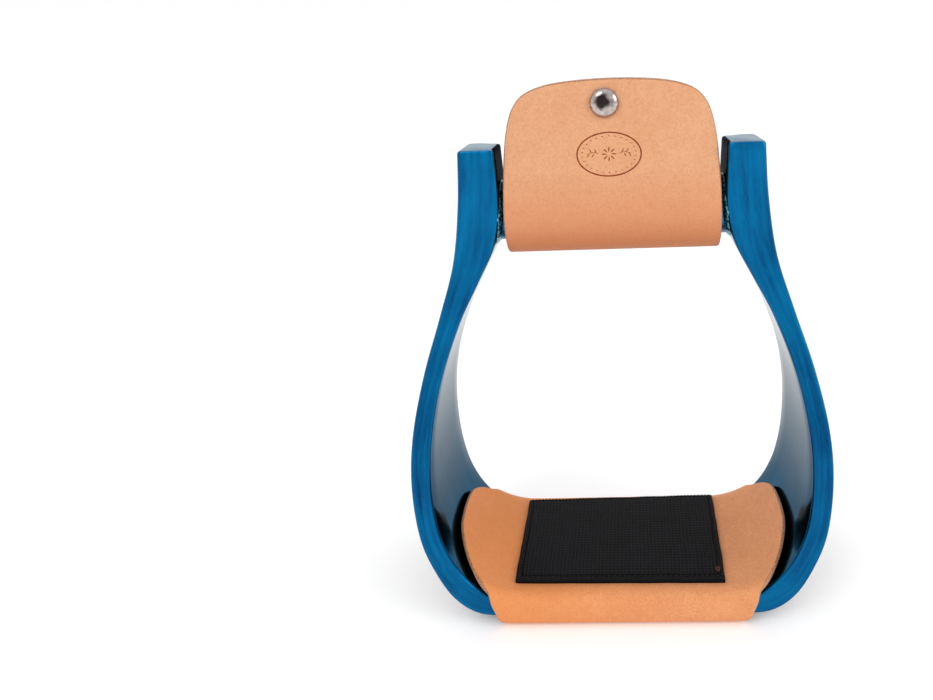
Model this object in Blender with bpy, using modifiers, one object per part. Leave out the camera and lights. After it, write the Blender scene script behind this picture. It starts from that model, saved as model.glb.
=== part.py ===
"""Western bell stirrup: a cast aluminium frame with a round neck bar, a riveted leather sleeve that
turns on the bar, and a leather-wrapped tread with a stitched grip pad.

Metres, +Z up. The origin is the middle of the underside. X runs across the stirrup, from arm to arm,
and Y runs through it, the way the boot goes in. The stirrup stands on its tread.
"""

import math

import bmesh
import bpy

# Driving dimensions of the frame
FRAME_HEIGHT = 0.1587
TREAD_HALF_DEPTH = 0.0312
NECK_HALF_DEPTH = 0.0111
PLATE_THICKNESS = 0.0070
GAP = 0.0003

# Leather of the tread cover and of the neck sleeve
TREAD_LEATHER = 0.0026
NECK_LEATHER = 0.0032

# Heights: everything on the frame is measured from its own underside, which the cover lifts up
FRAME_BASE = TREAD_LEATHER + GAP
BAR_HEIGHT = FRAME_BASE + 0.1362
TREAD_TOP = FRAME_BASE + PLATE_THICKNESS

# Neck bar, welded into a blind socket in each arm
BAR_RADIUS = 0.0095
ARM_INNER_AT_BAR = 0.0373
SOCKET_DEPTH = 0.0040
WELD_SIZE = 0.0010

# Neck sleeve: a strap folded under the bar, its two flaps riveted together above it
SLEEVE_HALF_WIDTH = 0.0358
SLEEVE_LOOP_RADIUS = 0.0126
FLAP_TOP = FRAME_BASE + 0.1800
FLAP_PINCH = FRAME_BASE + 0.1665
FLAP_MIDLINE = NECK_LEATHER / 2 + GAP

# Double-cap rivet through both flaps
RIVET_X = -0.0016
RIVET_HEIGHT = FRAME_BASE + 0.1722
RIVET_CAP_RADIUS = 0.0049
RIVET_CAP_RISE = 0.0022
RIVET_STEM_RADIUS = 0.0016
RIVET_SOCKET_DEPTH = 0.0012

# Tread cover: its top has two wings, and narrows to the straps folded under the tread plate
COVER_EDGE = TREAD_HALF_DEPTH + GAP + TREAD_LEATHER / 2
COVER_FOLD_ROUND = 0.0009
COVER_SEAM_GAP = 0.0032
STRAP_HALF_WIDTH = 0.0400
STRAP_OVERLAP = 0.0020

# Grip pad sewn on the cover
PAD_HALF_WIDTH = 0.0365
PAD_HALF_DEPTH = 0.0278
PAD_THICKNESS = 0.0016
PAD_SEAM_INSET = 0.0017
PAD_THREAD_RADIUS = 0.000245
PAD_THREAD_SINK = 0.00030
PAD_GROOVE_RADIUS = 0.00085
SEAM_THREAD_RADIUS = 0.0006
SEAM_STITCHES = 18
SEAM_END = 0.0040

# Cutters and blanks run past what they cut by the first, and right through the stirrup by the second
OVERCUT = 0.005
CUT_REACH = 0.080

# Right half of the frame seen from the front, as (x, height over the frame's underside)
OUTER_SIDE = [
    (0.0380, 0.0000), (0.0495, 0.0006), (0.0577, 0.0058), (0.0637, 0.0150), (0.0686, 0.0280),
    (0.0707, 0.0460), (0.0698, 0.0645), (0.0656, 0.0840), (0.0597, 0.1025), (0.0540, 0.1212),
    (0.0511, 0.1410), (0.0500, FRAME_HEIGHT),
]
INNER_SIDE = [
    (0.0381, FRAME_HEIGHT), (0.0376, 0.1490), (0.0373, 0.1380), (0.0398, 0.1262), (0.0458, 0.1142),
    (0.0530, 0.1000), (0.0596, 0.0815), (0.0632, 0.0625), (0.0638, 0.0450), (0.0620, 0.0310),
    (0.0586, 0.0215), (0.0542, 0.0146), (0.0490, 0.0095), (0.0430, PLATE_THICKNESS),
]
# Half depth of the frame seen from the side, as (y, height over the frame's underside)
DEPTH_SIDE = [
    (TREAD_HALF_DEPTH, -0.0020), (0.0303, 0.0173), (0.0292, 0.0346), (0.0264, 0.0540),
    (0.0205, 0.0750), (0.0152, 0.0960), (0.0123, 0.1155), (0.0113, 0.1350),
    (NECK_HALF_DEPTH, FRAME_HEIGHT + 0.0020),
]
# Right half of the sleeve's flap, as (x, height over the frame's underside)
FLAP_SIDE = [
    (SLEEVE_HALF_WIDTH, 0.1150), (SLEEVE_HALF_WIDTH, 0.1400), (0.0357, 0.1540), (0.0346, 0.1645),
    (0.0318, 0.1722), (0.0262, 0.1770), (0.0150, 0.1793),
]
# Quarter of the tread cover's top seen from above, as (x, y)
WING_QUARTER = [
    (0.0454, 0.0341), (0.0496, 0.0315), (0.0532, 0.0260), (0.0558, 0.0205), (0.0576, 0.0135),
    (0.0590, 0.0000),
]
# Middle line of the cover's right half seen from the front, as (x, height over the frame's underside)
WING_RISE = [(0.0300, 0.0086), (0.0420, 0.0086), (0.0480, 0.0110), (0.0527, 0.0158), (0.0570, 0.0225)]
# Right edge of the front strap seen from the front, as (x, height over the frame's underside)
STRAP_SIDE = [
    (0.0460, 0.0130), (0.0454, 0.0095), (0.0443, 0.0054), (0.0423, 0.0015), (STRAP_HALF_WIDTH, -0.0010),
]

PARTS = "stirrup"
CUTTERS = "cutters"


def clear_scene():
    for obj in list(bpy.data.objects):
        bpy.data.objects.remove(obj)
    for name in (PARTS, CUTTERS):
        collection = bpy.data.collections.new(name)
        bpy.context.scene.collection.children.link(collection)


def material(name, colour, roughness, metallic):
    made = bpy.data.materials.new(name)
    made.use_nodes = True
    shader = made.node_tree.nodes["Principled BSDF"]
    shader.inputs["Base Color"].default_value = (*colour, 1.0)
    shader.inputs["Roughness"].default_value = roughness
    shader.inputs["Metallic"].default_value = metallic
    return made


def place(obj, collection_name):
    for collection in list(obj.users_collection):
        collection.objects.unlink(obj)
    bpy.data.collections[collection_name].objects.link(obj)
    return obj


def as_cutter(obj):
    obj.hide_render = True
    obj.display_type = "WIRE"
    return place(obj, CUTTERS)


def finish_part(obj, look):
    obj.data.materials.clear()
    obj.data.materials.append(look)
    obj.data.shade_smooth()
    obj.data.set_sharp_from_angle(angle=math.radians(35))
    return place(obj, PARTS)


def mesh_from(source, name):
    """A mesh object from a curve or from an object with modifiers, with its caps welded."""
    bpy.context.view_layer.update()
    evaluated = source.evaluated_get(bpy.context.evaluated_depsgraph_get())
    mesh = bpy.data.meshes.new_from_object(evaluated)
    matrix = source.matrix_world.copy()
    bpy.data.objects.remove(source)
    obj = bpy.data.objects.new(name, mesh)
    obj.matrix_world = matrix
    bpy.context.scene.collection.objects.link(obj)
    weld(obj)
    return obj


def weld(obj):
    work = bmesh.new()
    work.from_mesh(obj.data)
    bmesh.ops.remove_doubles(work, verts=work.verts, dist=1e-6)
    bmesh.ops.recalc_face_normals(work, faces=work.faces)
    work.to_mesh(obj.data)
    work.free()


def turned_to(obj, plane):
    """Turns an object drawn in local X and Y to stand in the X-Z plane or the Y-Z plane."""
    if plane == "XZ":
        obj.rotation_euler = (math.pi / 2, 0, 0)
    elif plane == "YZ":
        obj.rotation_euler = (math.pi / 2, 0, math.pi / 2)
    return obj


def curve_object(name, points, closed, smooth, resolution):
    """A 2D curve through points. Where smooth is set for a point, the curve is round there."""
    curve = bpy.data.curves.new(name, "CURVE")
    curve.dimensions = "2D"
    curve.resolution_u = resolution
    spline = curve.splines.new("BEZIER")
    spline.bezier_points.add(len(points) - 1)
    spline.use_cyclic_u = closed
    for knot, (across, up), is_smooth in zip(spline.bezier_points, points, smooth):
        knot.co = (across, up, 0)
        knot.handle_left_type = knot.handle_right_type = "AUTO" if is_smooth else "VECTOR"
    obj = bpy.data.objects.new(name, curve)
    bpy.context.scene.collection.objects.link(obj)
    return obj


def prism(name, points, corners, plane, half_length, resolution=4):
    """A closed outline extruded both ways. Points whose index is in corners are sharp."""
    smooth = [index not in corners for index in range(len(points))]
    obj = curve_object(name, points, True, smooth, resolution)
    obj.data.fill_mode = "BOTH"
    obj.data.extrude = half_length
    return mesh_from(turned_to(obj, plane), name)


def smooth_line(points, steps=3):
    """A rounder line through the same points (Catmull-Rom)."""
    ends = [points[0]] + points + [points[-1]]
    line = []
    for p0, p1, p2, p3 in zip(ends, ends[1:], ends[2:], ends[3:]):
        for step in range(steps):
            t = step / steps
            line.append(tuple(
                b + t / 2 * (c - a + t * (2 * a - 5 * b + 4 * c - d + t * (3 * (b - c) + d - a)))
                for a, b, c, d in zip(p0, p1, p2, p3)
            ))
    return line + [points[-1]]


def band(line, thickness):
    """The closed outline of a sheet whose middle follows an open line."""
    left, right = [], []
    for before, here, after in zip([None] + line, line, line[1:] + [None]):
        normals = []
        for start, end in ((before, here), (here, after)):
            if start and end:
                run, rise = end[0] - start[0], end[1] - start[1]
                length = math.hypot(run, rise)
                normals.append((-rise / length, run / length))
        first, last = normals[0], normals[-1]
        scale = thickness / 2 / (1 + first[0] * last[0] + first[1] * last[1])
        shift = ((first[0] + last[0]) * scale, (first[1] + last[1]) * scale)
        left.append((here[0] + shift[0], here[1] + shift[1]))
        right.append((here[0] - shift[0], here[1] - shift[1]))
    return left + right[::-1]


def strap(name, line, plane, half_width, thickness):
    """A sheet of leather that follows an open line and is half_width wide on each side of it."""
    outline = band(line, thickness)
    return prism(name, outline, set(range(len(outline))), plane, half_width, 1)


def cylinder(name, radius, length, centre, axis, vertices=48):
    turns = {"X": (0, math.pi / 2, 0), "Y": (math.pi / 2, 0, 0), "Z": (0, 0, 0)}
    bpy.ops.mesh.primitive_cylinder_add(
        vertices=vertices, radius=radius, depth=length, location=centre, rotation=turns[axis]
    )
    obj = bpy.context.object
    obj.name = name
    return obj


def turned(name, profile, centre, facing, steps=40):
    """A turned piece: (radius, height) points down its outer side, its axis along +Y or -Y."""
    mesh = bpy.data.meshes.new(name)
    mesh.from_pydata([(r, 0, h) for r, h in profile], [(i, i + 1) for i in range(len(profile) - 1)], [])
    obj = bpy.data.objects.new(name, mesh)
    bpy.context.scene.collection.objects.link(obj)
    screw = obj.modifiers.new("turn", "SCREW")
    screw.steps = screw.render_steps = steps
    screw.use_merge_vertices = True
    screw.merge_threshold = 0.00001
    obj = mesh_from(obj, name)
    obj.location = centre
    obj.rotation_euler = (math.pi / 2 * (1 if facing < 0 else -1), 0, 0)
    return obj


def boolean(obj, other, operation):
    """Applies a Boolean with another mesh, which is then a hidden cutter."""
    name = obj.name
    step = obj.modifiers.new(operation.lower(), "BOOLEAN")
    step.operation = operation
    step.solver = "EXACT"
    step.object = other
    result = mesh_from(obj, name)
    result.name = name
    as_cutter(other)
    return result


def raised(points, base=FRAME_BASE):
    return [(across, base + up) for across, up in points]


def mirrored_outline(side):
    """A closed outline from its right half, bottom to top, and that half mirrored."""
    return side + [(-across, up) for across, up in reversed(side)]


def make_frame(look):
    right = raised(OUTER_SIDE + INNER_SIDE)
    left = [(-across, up) for across, up in reversed(right)]
    outline = right + left
    top_outer, top_inner = len(OUTER_SIDE) - 1, len(OUTER_SIDE)
    plate_end, last = len(right) - 1, len(outline) - 1
    corners = {0, top_outer, top_inner, plate_end}
    corners |= {last - index for index in corners}
    frame = prism("frame", outline, corners, "XZ", TREAD_HALF_DEPTH + OVERCUT)

    depth = mirrored_outline(raised(DEPTH_SIDE))
    ends = {0, len(DEPTH_SIDE) - 1, len(DEPTH_SIDE), len(depth) - 1}
    side_blank = prism("side_blank", depth, ends, "YZ", CUT_REACH)
    frame = boolean(frame, side_blank, "INTERSECT")

    socket_length = 2 * (ARM_INNER_AT_BAR + SOCKET_DEPTH)
    socket = cylinder("socket", BAR_RADIUS + GAP, socket_length, (0, 0, BAR_HEIGHT), "X")
    return finish_part(boolean(frame, socket, "DIFFERENCE"), look)


def make_neck_bar(look):
    length = 2 * (ARM_INNER_AT_BAR + SOCKET_DEPTH - GAP)
    return finish_part(cylinder("neck_bar", BAR_RADIUS, length, (0, 0, BAR_HEIGHT), "X"), look)


def make_weld_bead(name, side, look):
    """A fillet of weld round the bar's end: a thin ring just clear of the bar and of the arm."""
    bpy.ops.mesh.primitive_torus_add(
        major_segments=48, minor_segments=10,
        major_radius=BAR_RADIUS + GAP + WELD_SIZE / 2, minor_radius=WELD_SIZE / 2,
        location=(side * (ARM_INNER_AT_BAR - GAP - WELD_SIZE / 2), 0, BAR_HEIGHT),
        rotation=(0, math.pi / 2, 0),
    )
    bead = bpy.context.object
    bead.name = name
    return finish_part(bead, look)


def sleeve_line():
    """Middle line of the sleeve's leather in the Y-Z plane: down one flap, round the bar, up the other."""
    rise = FLAP_PINCH - BAR_HEIGHT
    tangent = math.atan2(rise, FLAP_MIDLINE) - math.acos(SLEEVE_LOOP_RADIUS / math.hypot(rise, FLAP_MIDLINE))
    flap = [(FLAP_MIDLINE, FLAP_TOP + 0.001), (FLAP_MIDLINE, FLAP_PINCH)]
    loop = []
    for step in range(25):
        angle = tangent - (math.pi + 2 * tangent) * step / 24
        loop.append((SLEEVE_LOOP_RADIUS * math.cos(angle), BAR_HEIGHT + SLEEVE_LOOP_RADIUS * math.sin(angle)))
    return flap + loop + [(-across, up) for across, up in reversed(flap)]


def make_neck_leather(look):
    sleeve = strap("neck_leather", sleeve_line(), "YZ", SLEEVE_HALF_WIDTH + OVERCUT, NECK_LEATHER)
    half = raised(FLAP_SIDE)
    outline = half + [(0.0, FLAP_TOP)] + [(-across, up) for across, up in reversed(half)]
    flap = prism("flap_outline", outline, {0, len(outline) - 1}, "XZ", CUT_REACH)
    sleeve = boolean(sleeve, flap, "INTERSECT")
    hole = cylinder(
        "rivet_hole", RIVET_STEM_RADIUS + GAP, CUT_REACH, (RIVET_X, 0, RIVET_HEIGHT), "Y", 24
    )
    return finish_part(boolean(sleeve, hole, "DIFFERENCE"), look)


def cap_profile(base, hollow_radius, hollow_depth):
    """Profile of a domed rivet cap that stands base over the leather's middle plane."""
    points = []
    for step in range(7):
        angle = math.pi / 2 * step / 6
        points.append((
            RIVET_CAP_RADIUS * math.sin(angle),
            base + RIVET_CAP_RISE * (0.25 + 0.75 * math.cos(angle)),
        ))
    points.append((RIVET_CAP_RADIUS, base))
    points += [(hollow_radius, base), (hollow_radius, base + hollow_depth), (0, base + hollow_depth)]
    return points


def make_rivet(look):
    """The front cap has a blind socket, and the back cap's stem goes through both flaps into it."""
    base = NECK_LEATHER + 2 * GAP
    centre = (RIVET_X, 0, RIVET_HEIGHT)
    cap = turned(
        "rivet_cap",
        cap_profile(base, RIVET_STEM_RADIUS + GAP, RIVET_SOCKET_DEPTH),
        centre, -1,
    )
    stem_end = -(base + RIVET_SOCKET_DEPTH - GAP)
    post = turned(
        "rivet_post", cap_profile(base, RIVET_STEM_RADIUS, stem_end - base), centre, 1
    )
    return finish_part(cap, look), finish_part(post, look)


def cover_top():
    """The cover's top and wings, which follow the frame's inside and are cut to a barrel shape."""
    rise = raised(WING_RISE)
    line = smooth_line(rise[::-1] + [(-across, up) for across, up in rise])
    top = strap("tread_leather", line, "XZ", COVER_EDGE, TREAD_LEATHER)
    right = WING_QUARTER + [(across, -deep) for across, deep in reversed(WING_QUARTER[:-1])]
    outline = right + [(-across, deep) for across, deep in reversed(right)]
    last = len(right) - 1
    barrel = prism("barrel_outline", outline, {0, last, last + 1, len(outline) - 1}, "XY", CUT_REACH)
    return boolean(top, barrel, "INTERSECT")


def cover_strap(side):
    """The strap that folds down over the plate's edge on one side, and under the plate to the seam."""
    under = TREAD_LEATHER / 2
    fold = COVER_EDGE - COVER_FOLD_ROUND
    line = [
        (COVER_SEAM_GAP / 2, under), (fold, under), (COVER_EDGE, under + COVER_FOLD_ROUND),
        (COVER_EDGE, TREAD_TOP + STRAP_OVERLAP),
    ]
    line = [(side * deep, up) for deep, up in line]
    band_up = strap("cover_strap", line, "YZ", CUT_REACH, TREAD_LEATHER)
    half = raised(STRAP_SIDE) + [(STRAP_HALF_WIDTH, -OVERCUT)]
    outline = half[::-1] + [(-across, up) for across, up in half]
    corners = {0, 1, len(outline) // 2 - 1, len(outline) // 2, len(outline) - 2, len(outline) - 1}
    return boolean(band_up, prism("strap_outline", outline, corners, "XZ", CUT_REACH), "INTERSECT")


def make_tread_leather(look):
    cover = cover_top()
    for side in (-1, 1):
        cover = boolean(cover, cover_strap(side), "UNION")
    return finish_part(cover, look)


def make_underside_stitch(look):
    """Waxed thread that zigzags along the seam where the cover's two edges meet under the plate."""
    reach = COVER_SEAM_GAP / 2 - SEAM_THREAD_RADIUS - GAP
    span = 2 * (STRAP_HALF_WIDTH - SEAM_END)
    curve = bpy.data.curves.new("underside_stitch", "CURVE")
    curve.dimensions = "3D"
    curve.bevel_depth = SEAM_THREAD_RADIUS
    curve.bevel_resolution = 2
    curve.use_fill_caps = True
    spline = curve.splines.new("POLY")
    spline.points.add(2 * SEAM_STITCHES)
    for index, point in enumerate(spline.points):
        along = span * (index / (2 * SEAM_STITCHES) - 0.5)
        side = reach * (1 if index % 2 else -1)
        point.co = (along, side, TREAD_LEATHER / 2, 1)
    obj = bpy.data.objects.new("underside_stitch", curve)
    bpy.context.scene.collection.objects.link(obj)
    return finish_part(mesh_from(obj, "underside_stitch"), look)


def seam_ring(name, half_x, half_y, height, radius, sides):
    """A closed rectangular ring of round wire with small corner radii, level at height."""
    corner = 0.0015
    curve = bpy.data.curves.new(name, "CURVE")
    curve.dimensions = "3D"
    curve.bevel_depth = radius
    curve.bevel_resolution = sides
    spline = curve.splines.new("POLY")
    points = []
    for quarter in range(4):
        sign_x, sign_y = [(1, 1), (-1, 1), (-1, -1), (1, -1)][quarter]
        for step in range(4):
            angle = math.pi / 2 * (quarter + step / 3)
            points.append((
                sign_x * (half_x - corner) + corner * math.cos(angle),
                sign_y * (half_y - corner) + corner * math.sin(angle),
            ))
    spline.points.add(len(points) - 1)
    spline.use_cyclic_u = True
    for point, (across, deep) in zip(spline.points, points):
        point.co = (across, deep, height, 1)
    obj = bpy.data.objects.new(name, curve)
    bpy.context.scene.collection.objects.link(obj)
    return mesh_from(obj, name)


def make_grip_pad(pad_look, thread_look):
    bottom = TREAD_TOP + GAP + TREAD_LEATHER + GAP
    top = bottom + PAD_THICKNESS
    bpy.ops.mesh.primitive_cube_add(size=2, location=(0, 0, (bottom + top) / 2))
    slab = bpy.context.object
    slab.name = "grip_pad"
    slab.scale = (PAD_HALF_WIDTH, PAD_HALF_DEPTH, PAD_THICKNESS / 2)
    bpy.ops.object.transform_apply(location=False, rotation=False, scale=True)
    half_x, half_y = PAD_HALF_WIDTH - PAD_SEAM_INSET, PAD_HALF_DEPTH - PAD_SEAM_INSET
    groove = seam_ring(
        "seam_groove", half_x, half_y, top, PAD_GROOVE_RADIUS, 2
    )
    pad = boolean(slab, groove, "DIFFERENCE")
    thread = seam_ring(
        "grip_thread", half_x, half_y, top - PAD_THREAD_SINK, PAD_THREAD_RADIUS, 1
    )
    return finish_part(pad, pad_look), finish_part(thread, thread_look)


def main():
    clear_scene()
    blue = material("blue_anodised", (0.004, 0.10, 0.24), 0.22, 1.0)
    tan = material("tan_leather", (0.66, 0.33, 0.16), 0.62, 0.0)
    nickel = material("nickel", (0.72, 0.69, 0.66), 0.15, 1.0)
    black = material("black_webbing", (0.012, 0.011, 0.014), 0.80, 0.0)
    thread = material("black_thread", (0.015, 0.012, 0.014), 0.70, 0.0)
    waxed = material("waxed_thread", (0.58, 0.46, 0.32), 0.60, 0.0)

    make_frame(blue)
    make_neck_bar(blue)
    make_weld_bead("weld_bead_left", -1, blue)
    make_weld_bead("weld_bead_right", 1, blue)
    make_neck_leather(tan)
    make_rivet(nickel)
    make_tread_leather(tan)
    make_underside_stitch(waxed)
    make_grip_pad(black, thread)


main()
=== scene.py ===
"""The looks of a western bell stirrup: engraved blue aluminium, tan leather and black webbing."""

import math
import random

import bmesh
import bpy
import numpy as np
from mathutils import Matrix, Vector, noise


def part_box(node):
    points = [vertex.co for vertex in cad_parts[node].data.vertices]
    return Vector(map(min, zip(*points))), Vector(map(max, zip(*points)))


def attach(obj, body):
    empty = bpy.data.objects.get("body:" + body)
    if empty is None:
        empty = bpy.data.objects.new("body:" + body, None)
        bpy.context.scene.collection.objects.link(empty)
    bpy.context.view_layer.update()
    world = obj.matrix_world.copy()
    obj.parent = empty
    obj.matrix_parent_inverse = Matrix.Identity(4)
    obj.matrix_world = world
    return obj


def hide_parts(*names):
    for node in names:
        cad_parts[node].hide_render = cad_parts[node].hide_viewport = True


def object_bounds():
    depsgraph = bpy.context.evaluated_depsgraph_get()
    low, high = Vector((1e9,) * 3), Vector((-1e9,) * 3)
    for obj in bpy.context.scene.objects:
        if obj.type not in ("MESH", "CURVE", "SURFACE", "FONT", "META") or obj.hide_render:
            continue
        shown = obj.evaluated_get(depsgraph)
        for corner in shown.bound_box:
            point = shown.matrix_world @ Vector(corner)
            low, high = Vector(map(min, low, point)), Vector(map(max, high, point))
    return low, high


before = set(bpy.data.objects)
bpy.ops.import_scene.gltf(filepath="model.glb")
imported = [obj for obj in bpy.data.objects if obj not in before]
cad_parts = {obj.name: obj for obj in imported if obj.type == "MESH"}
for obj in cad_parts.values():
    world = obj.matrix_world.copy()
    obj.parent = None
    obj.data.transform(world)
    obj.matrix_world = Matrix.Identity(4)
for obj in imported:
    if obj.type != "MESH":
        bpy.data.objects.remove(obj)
CAD_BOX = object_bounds()

MM = 0.001

# Heights in millimetres. The frame stands on the leather under its tread plate.
FRAME_LOW, FRAME_HIGH = (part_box("frame")[side][2] / MM for side in (0, 1))
FRAME_HEIGHT = FRAME_HIGH - FRAME_LOW
BAR_LOW, BAR_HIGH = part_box("neck_bar")
BAR_Z = (BAR_LOW[2] + BAR_HIGH[2]) / 2 / MM
BAR_RADIUS = (BAR_HIGH[2] - BAR_LOW[2]) / 2 / MM
BAR_HALF_LENGTH = BAR_HIGH[0] / MM
PLATE_THICKNESS = 7.0

# Right half of the frame in millimetres: (x, height over the frame's underside)
OUTER_SIDE = [
    (0.0, 0.0), (20.0, 0.0), (38.0, 0.0), (49.5, 0.6), (57.7, 5.8), (63.7, 15.0), (68.6, 28.0),
    (70.7, 46.0), (69.8, 64.5), (65.6, 84.0), (59.7, 102.5), (54.0, 121.2), (51.1, 141.0),
    (50.0, FRAME_HEIGHT),
]
INNER_SIDE = [
    (0.0, PLATE_THICKNESS), (22.0, PLATE_THICKNESS), (43.0, PLATE_THICKNESS), (49.0, 9.5),
    (54.2, 14.6), (58.6, 21.5), (62.0, 31.0), (63.8, 45.0), (63.2, 62.5), (59.6, 81.5),
    (53.0, 100.0), (45.8, 114.2), (39.8, 126.2), (37.3, 138.0), (37.6, 149.0), (38.1, FRAME_HEIGHT),
]
# Half the frame's depth: (height over its underside, half depth)
HALF_DEPTH = [
    (-2.0, 31.2), (0.0, 31.1), (17.3, 30.3), (34.6, 29.2), (54.0, 26.4), (75.0, 20.5), (96.0, 15.2),
    (115.5, 12.3), (135.0, 11.3), (FRAME_HEIGHT, 11.1), (FRAME_HEIGHT + 2.0, 11.1),
]
EDGE_RADIUS = 1.1
# How much shallower the plate is at the back, where the cover folds in a wide round
PLATE_BACK_RELIEF = 2.4
# Inner faces above this height are painted near black: a painted dark reflection in the neck
NECK_PAINTED_DARK_FROM = 130.0    # CAD height

# Leather
NECK_LEATHER = 3.2
TREAD_LEATHER = 2.6
GAP = 0.3
SLEEVE_LOOP_RADIUS = 12.6
FLAP_MIDLINE = NECK_LEATHER / 2 + GAP
FLAP_PINCH = FRAME_LOW + 166.5
# The right half of a flap's cut edge: (x, height over the frame's underside)
FLAP_EDGE = [
    (0.0, 180.0), (8.0, 179.8), (16.0, 179.2), (22.0, 178.2), (26.8, 176.6), (30.0, 174.4),
    (32.4, 171.0), (33.9, 166.6), (34.9, 160.5), (35.4, 153.0), (35.6, 145.0),
]
RIVET = Vector((-1.6, 0.0, FRAME_LOW + 172.2))
STAMP_CENTRE = (-0.5, FRAME_LOW + 155.3)
STAMP_HALF_SIZE = (10.5, 7.3)

# The cover's middle surface along the plate and up its wing: (x, height over the frame's underside)
COVER_RISE = [
    (0.0, 8.6), (20.0, 8.6), (34.0, 8.6), (38.5, 8.9), (43.0, 9.9), (48.0, 11.9), (52.7, 15.2),
    (57.0, 21.2), (59.4, 25.4),
]
COVER_TOP, COVER_LOW = COVER_RISE[0][1], -(GAP + TREAD_LEATHER / 2)
COVER_EDGE_Y = 32.8
# Radii of the folds over the plate's edges, at the top and at the underside
FRONT_FOLD_RADII, BACK_FOLD_RADII = (2.8, 3.5), (6.4, 3.5)
# The cut edge of a wing, as (x, distance from the middle), and of the strap below it, as (x, drop)
WING_EDGE = [(58.9, 0.0), (58.7, 8.0), (58.0, 14.0), (56.0, 20.4), (52.8, 26.2), (48.8, 30.8)]
STRAP_EDGE = [(46.2, 1.4), (44.9, 4.4), (43.2, 7.8), (40.9, 10.2)]
SEAM_HALF_GAP = 1.6

PAD_HALF = (36.5, 27.8)
PAD_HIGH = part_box("grip_pad")[1][2] / MM
PAD_SEAM_INSET = 1.7
# Where the corners of the patch really lie, since it was cut out of square
PAD_CORNERS = {
    (-1, -1): (-37.5, -27.0), (1, -1): (35.0, -27.8), (1, 1): (36.5, 26.9), (-1, 1): (-37.3, 24.9),
}


# ---------------------------------------------------------------- lines and meshes

def smooth(points, steps=10):
    """A round line through the points (Catmull-Rom), as an array."""
    given = np.array(points, float)
    ends = np.vstack([2 * given[0] - given[1], given, 2 * given[-1] - given[-2]])
    line = []
    for a, b, c, d in zip(ends, ends[1:], ends[2:], ends[3:]):
        for step in range(steps):
            t = step / steps
            line.append(b + t / 2 * (c - a + t * (2 * a - 5 * b + 4 * c - d + t * (3 * (b - c) + d - a))))
    line.append(given[-1])
    return np.array(line)


class Path:
    """A line that is read by the distance along it."""

    REACH = 0.25

    def __init__(self, line):
        self.line = np.array(line, float)
        steps = np.linalg.norm(np.diff(self.line, axis=0), axis=1)
        self.marks = np.concatenate([[0], np.cumsum(steps)])
        self.length = self.marks[-1]

    def at(self, distance):
        return np.array([np.interp(distance, self.marks, column) for column in self.line.T])

    def along(self, distance):
        run = self.at(min(distance + self.REACH, self.length)) - self.at(max(distance - self.REACH, 0))
        return run / np.linalg.norm(run)

    def left(self, distance):
        """The normal to the left of a flat line's direction."""
        run = self.along(distance)
        return np.array([-run[1], run[0]])


OUTER = Path(smooth(OUTER_SIDE))
INNER = Path(smooth(INNER_SIDE))
DEPTH = smooth(HALF_DEPTH)


def half_depth(height):
    """Half the frame's depth at a height over its underside."""
    return float(np.interp(height, DEPTH[:, 0], DEPTH[:, 1]))


def new_piece(name, verts, faces, looks, face_looks=None, uv=None, tone=None, smooth_angle=40):
    """A mesh object in metres, from vertices in millimetres. uv and tone are given for each vertex."""
    mesh = bpy.data.meshes.new(name)
    mesh.from_pydata([tuple(c * MM for c in v) for v in verts], [], faces)
    for look in looks:
        mesh.materials.append(look)
    if face_looks:
        mesh.polygons.foreach_set("material_index", face_looks)
    if uv is not None:
        layer = mesh.uv_layers.new(name="UVMap")
        for loop in mesh.loops:
            layer.data[loop.index].uv = uv[loop.vertex_index]
    if tone is not None:
        mesh.attributes.new("tone", "FLOAT", "POINT").data.foreach_set("value", tone)
    work = bmesh.new()
    work.from_mesh(mesh)
    bmesh.ops.recalc_face_normals(work, faces=work.faces)
    work.to_mesh(mesh)
    work.free()
    mesh.shade_smooth()
    mesh.set_sharp_from_angle(angle=math.radians(smooth_angle))
    obj = bpy.data.objects.new(name, mesh)
    bpy.context.scene.collection.objects.link(obj)
    return obj


class Build:
    """Collects the vertices and faces of a piece that is made of many strokes."""

    def __init__(self):
        self.verts, self.faces, self.uv, self.tone = [], [], [], []

    def add(self, verts, faces, uv=None, tone=None):
        base = len(self.verts)
        self.verts += [tuple(v) for v in verts]
        self.faces += [tuple(base + i for i in face) for face in faces]
        self.uv += uv or [(0.0, 0.0)] * len(verts)
        self.tone += tone or [0.0] * len(verts)

    def piece(self, name, look, smooth_angle=40):
        return new_piece(name, self.verts, self.faces, [look], None, self.uv, self.tone, smooth_angle)


def ring_faces(rings, size, closed=False):
    """Quads between rings of the same size, numbered one ring after another."""
    faces = []
    for ring in range(rings if closed else rings - 1):
        here, after = ring * size, (ring + 1) % rings * size
        for i in range(size):
            j = (i + 1) % size
            faces.append((here + i, here + j, after + j, after + i))
    return faces


def circle(steps, radius=1.0):
    """Points evenly round a circle."""
    angles = [2 * math.pi * k / steps for k in range(steps)]
    return [(radius * math.cos(a), radius * math.sin(a)) for a in angles]


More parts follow.
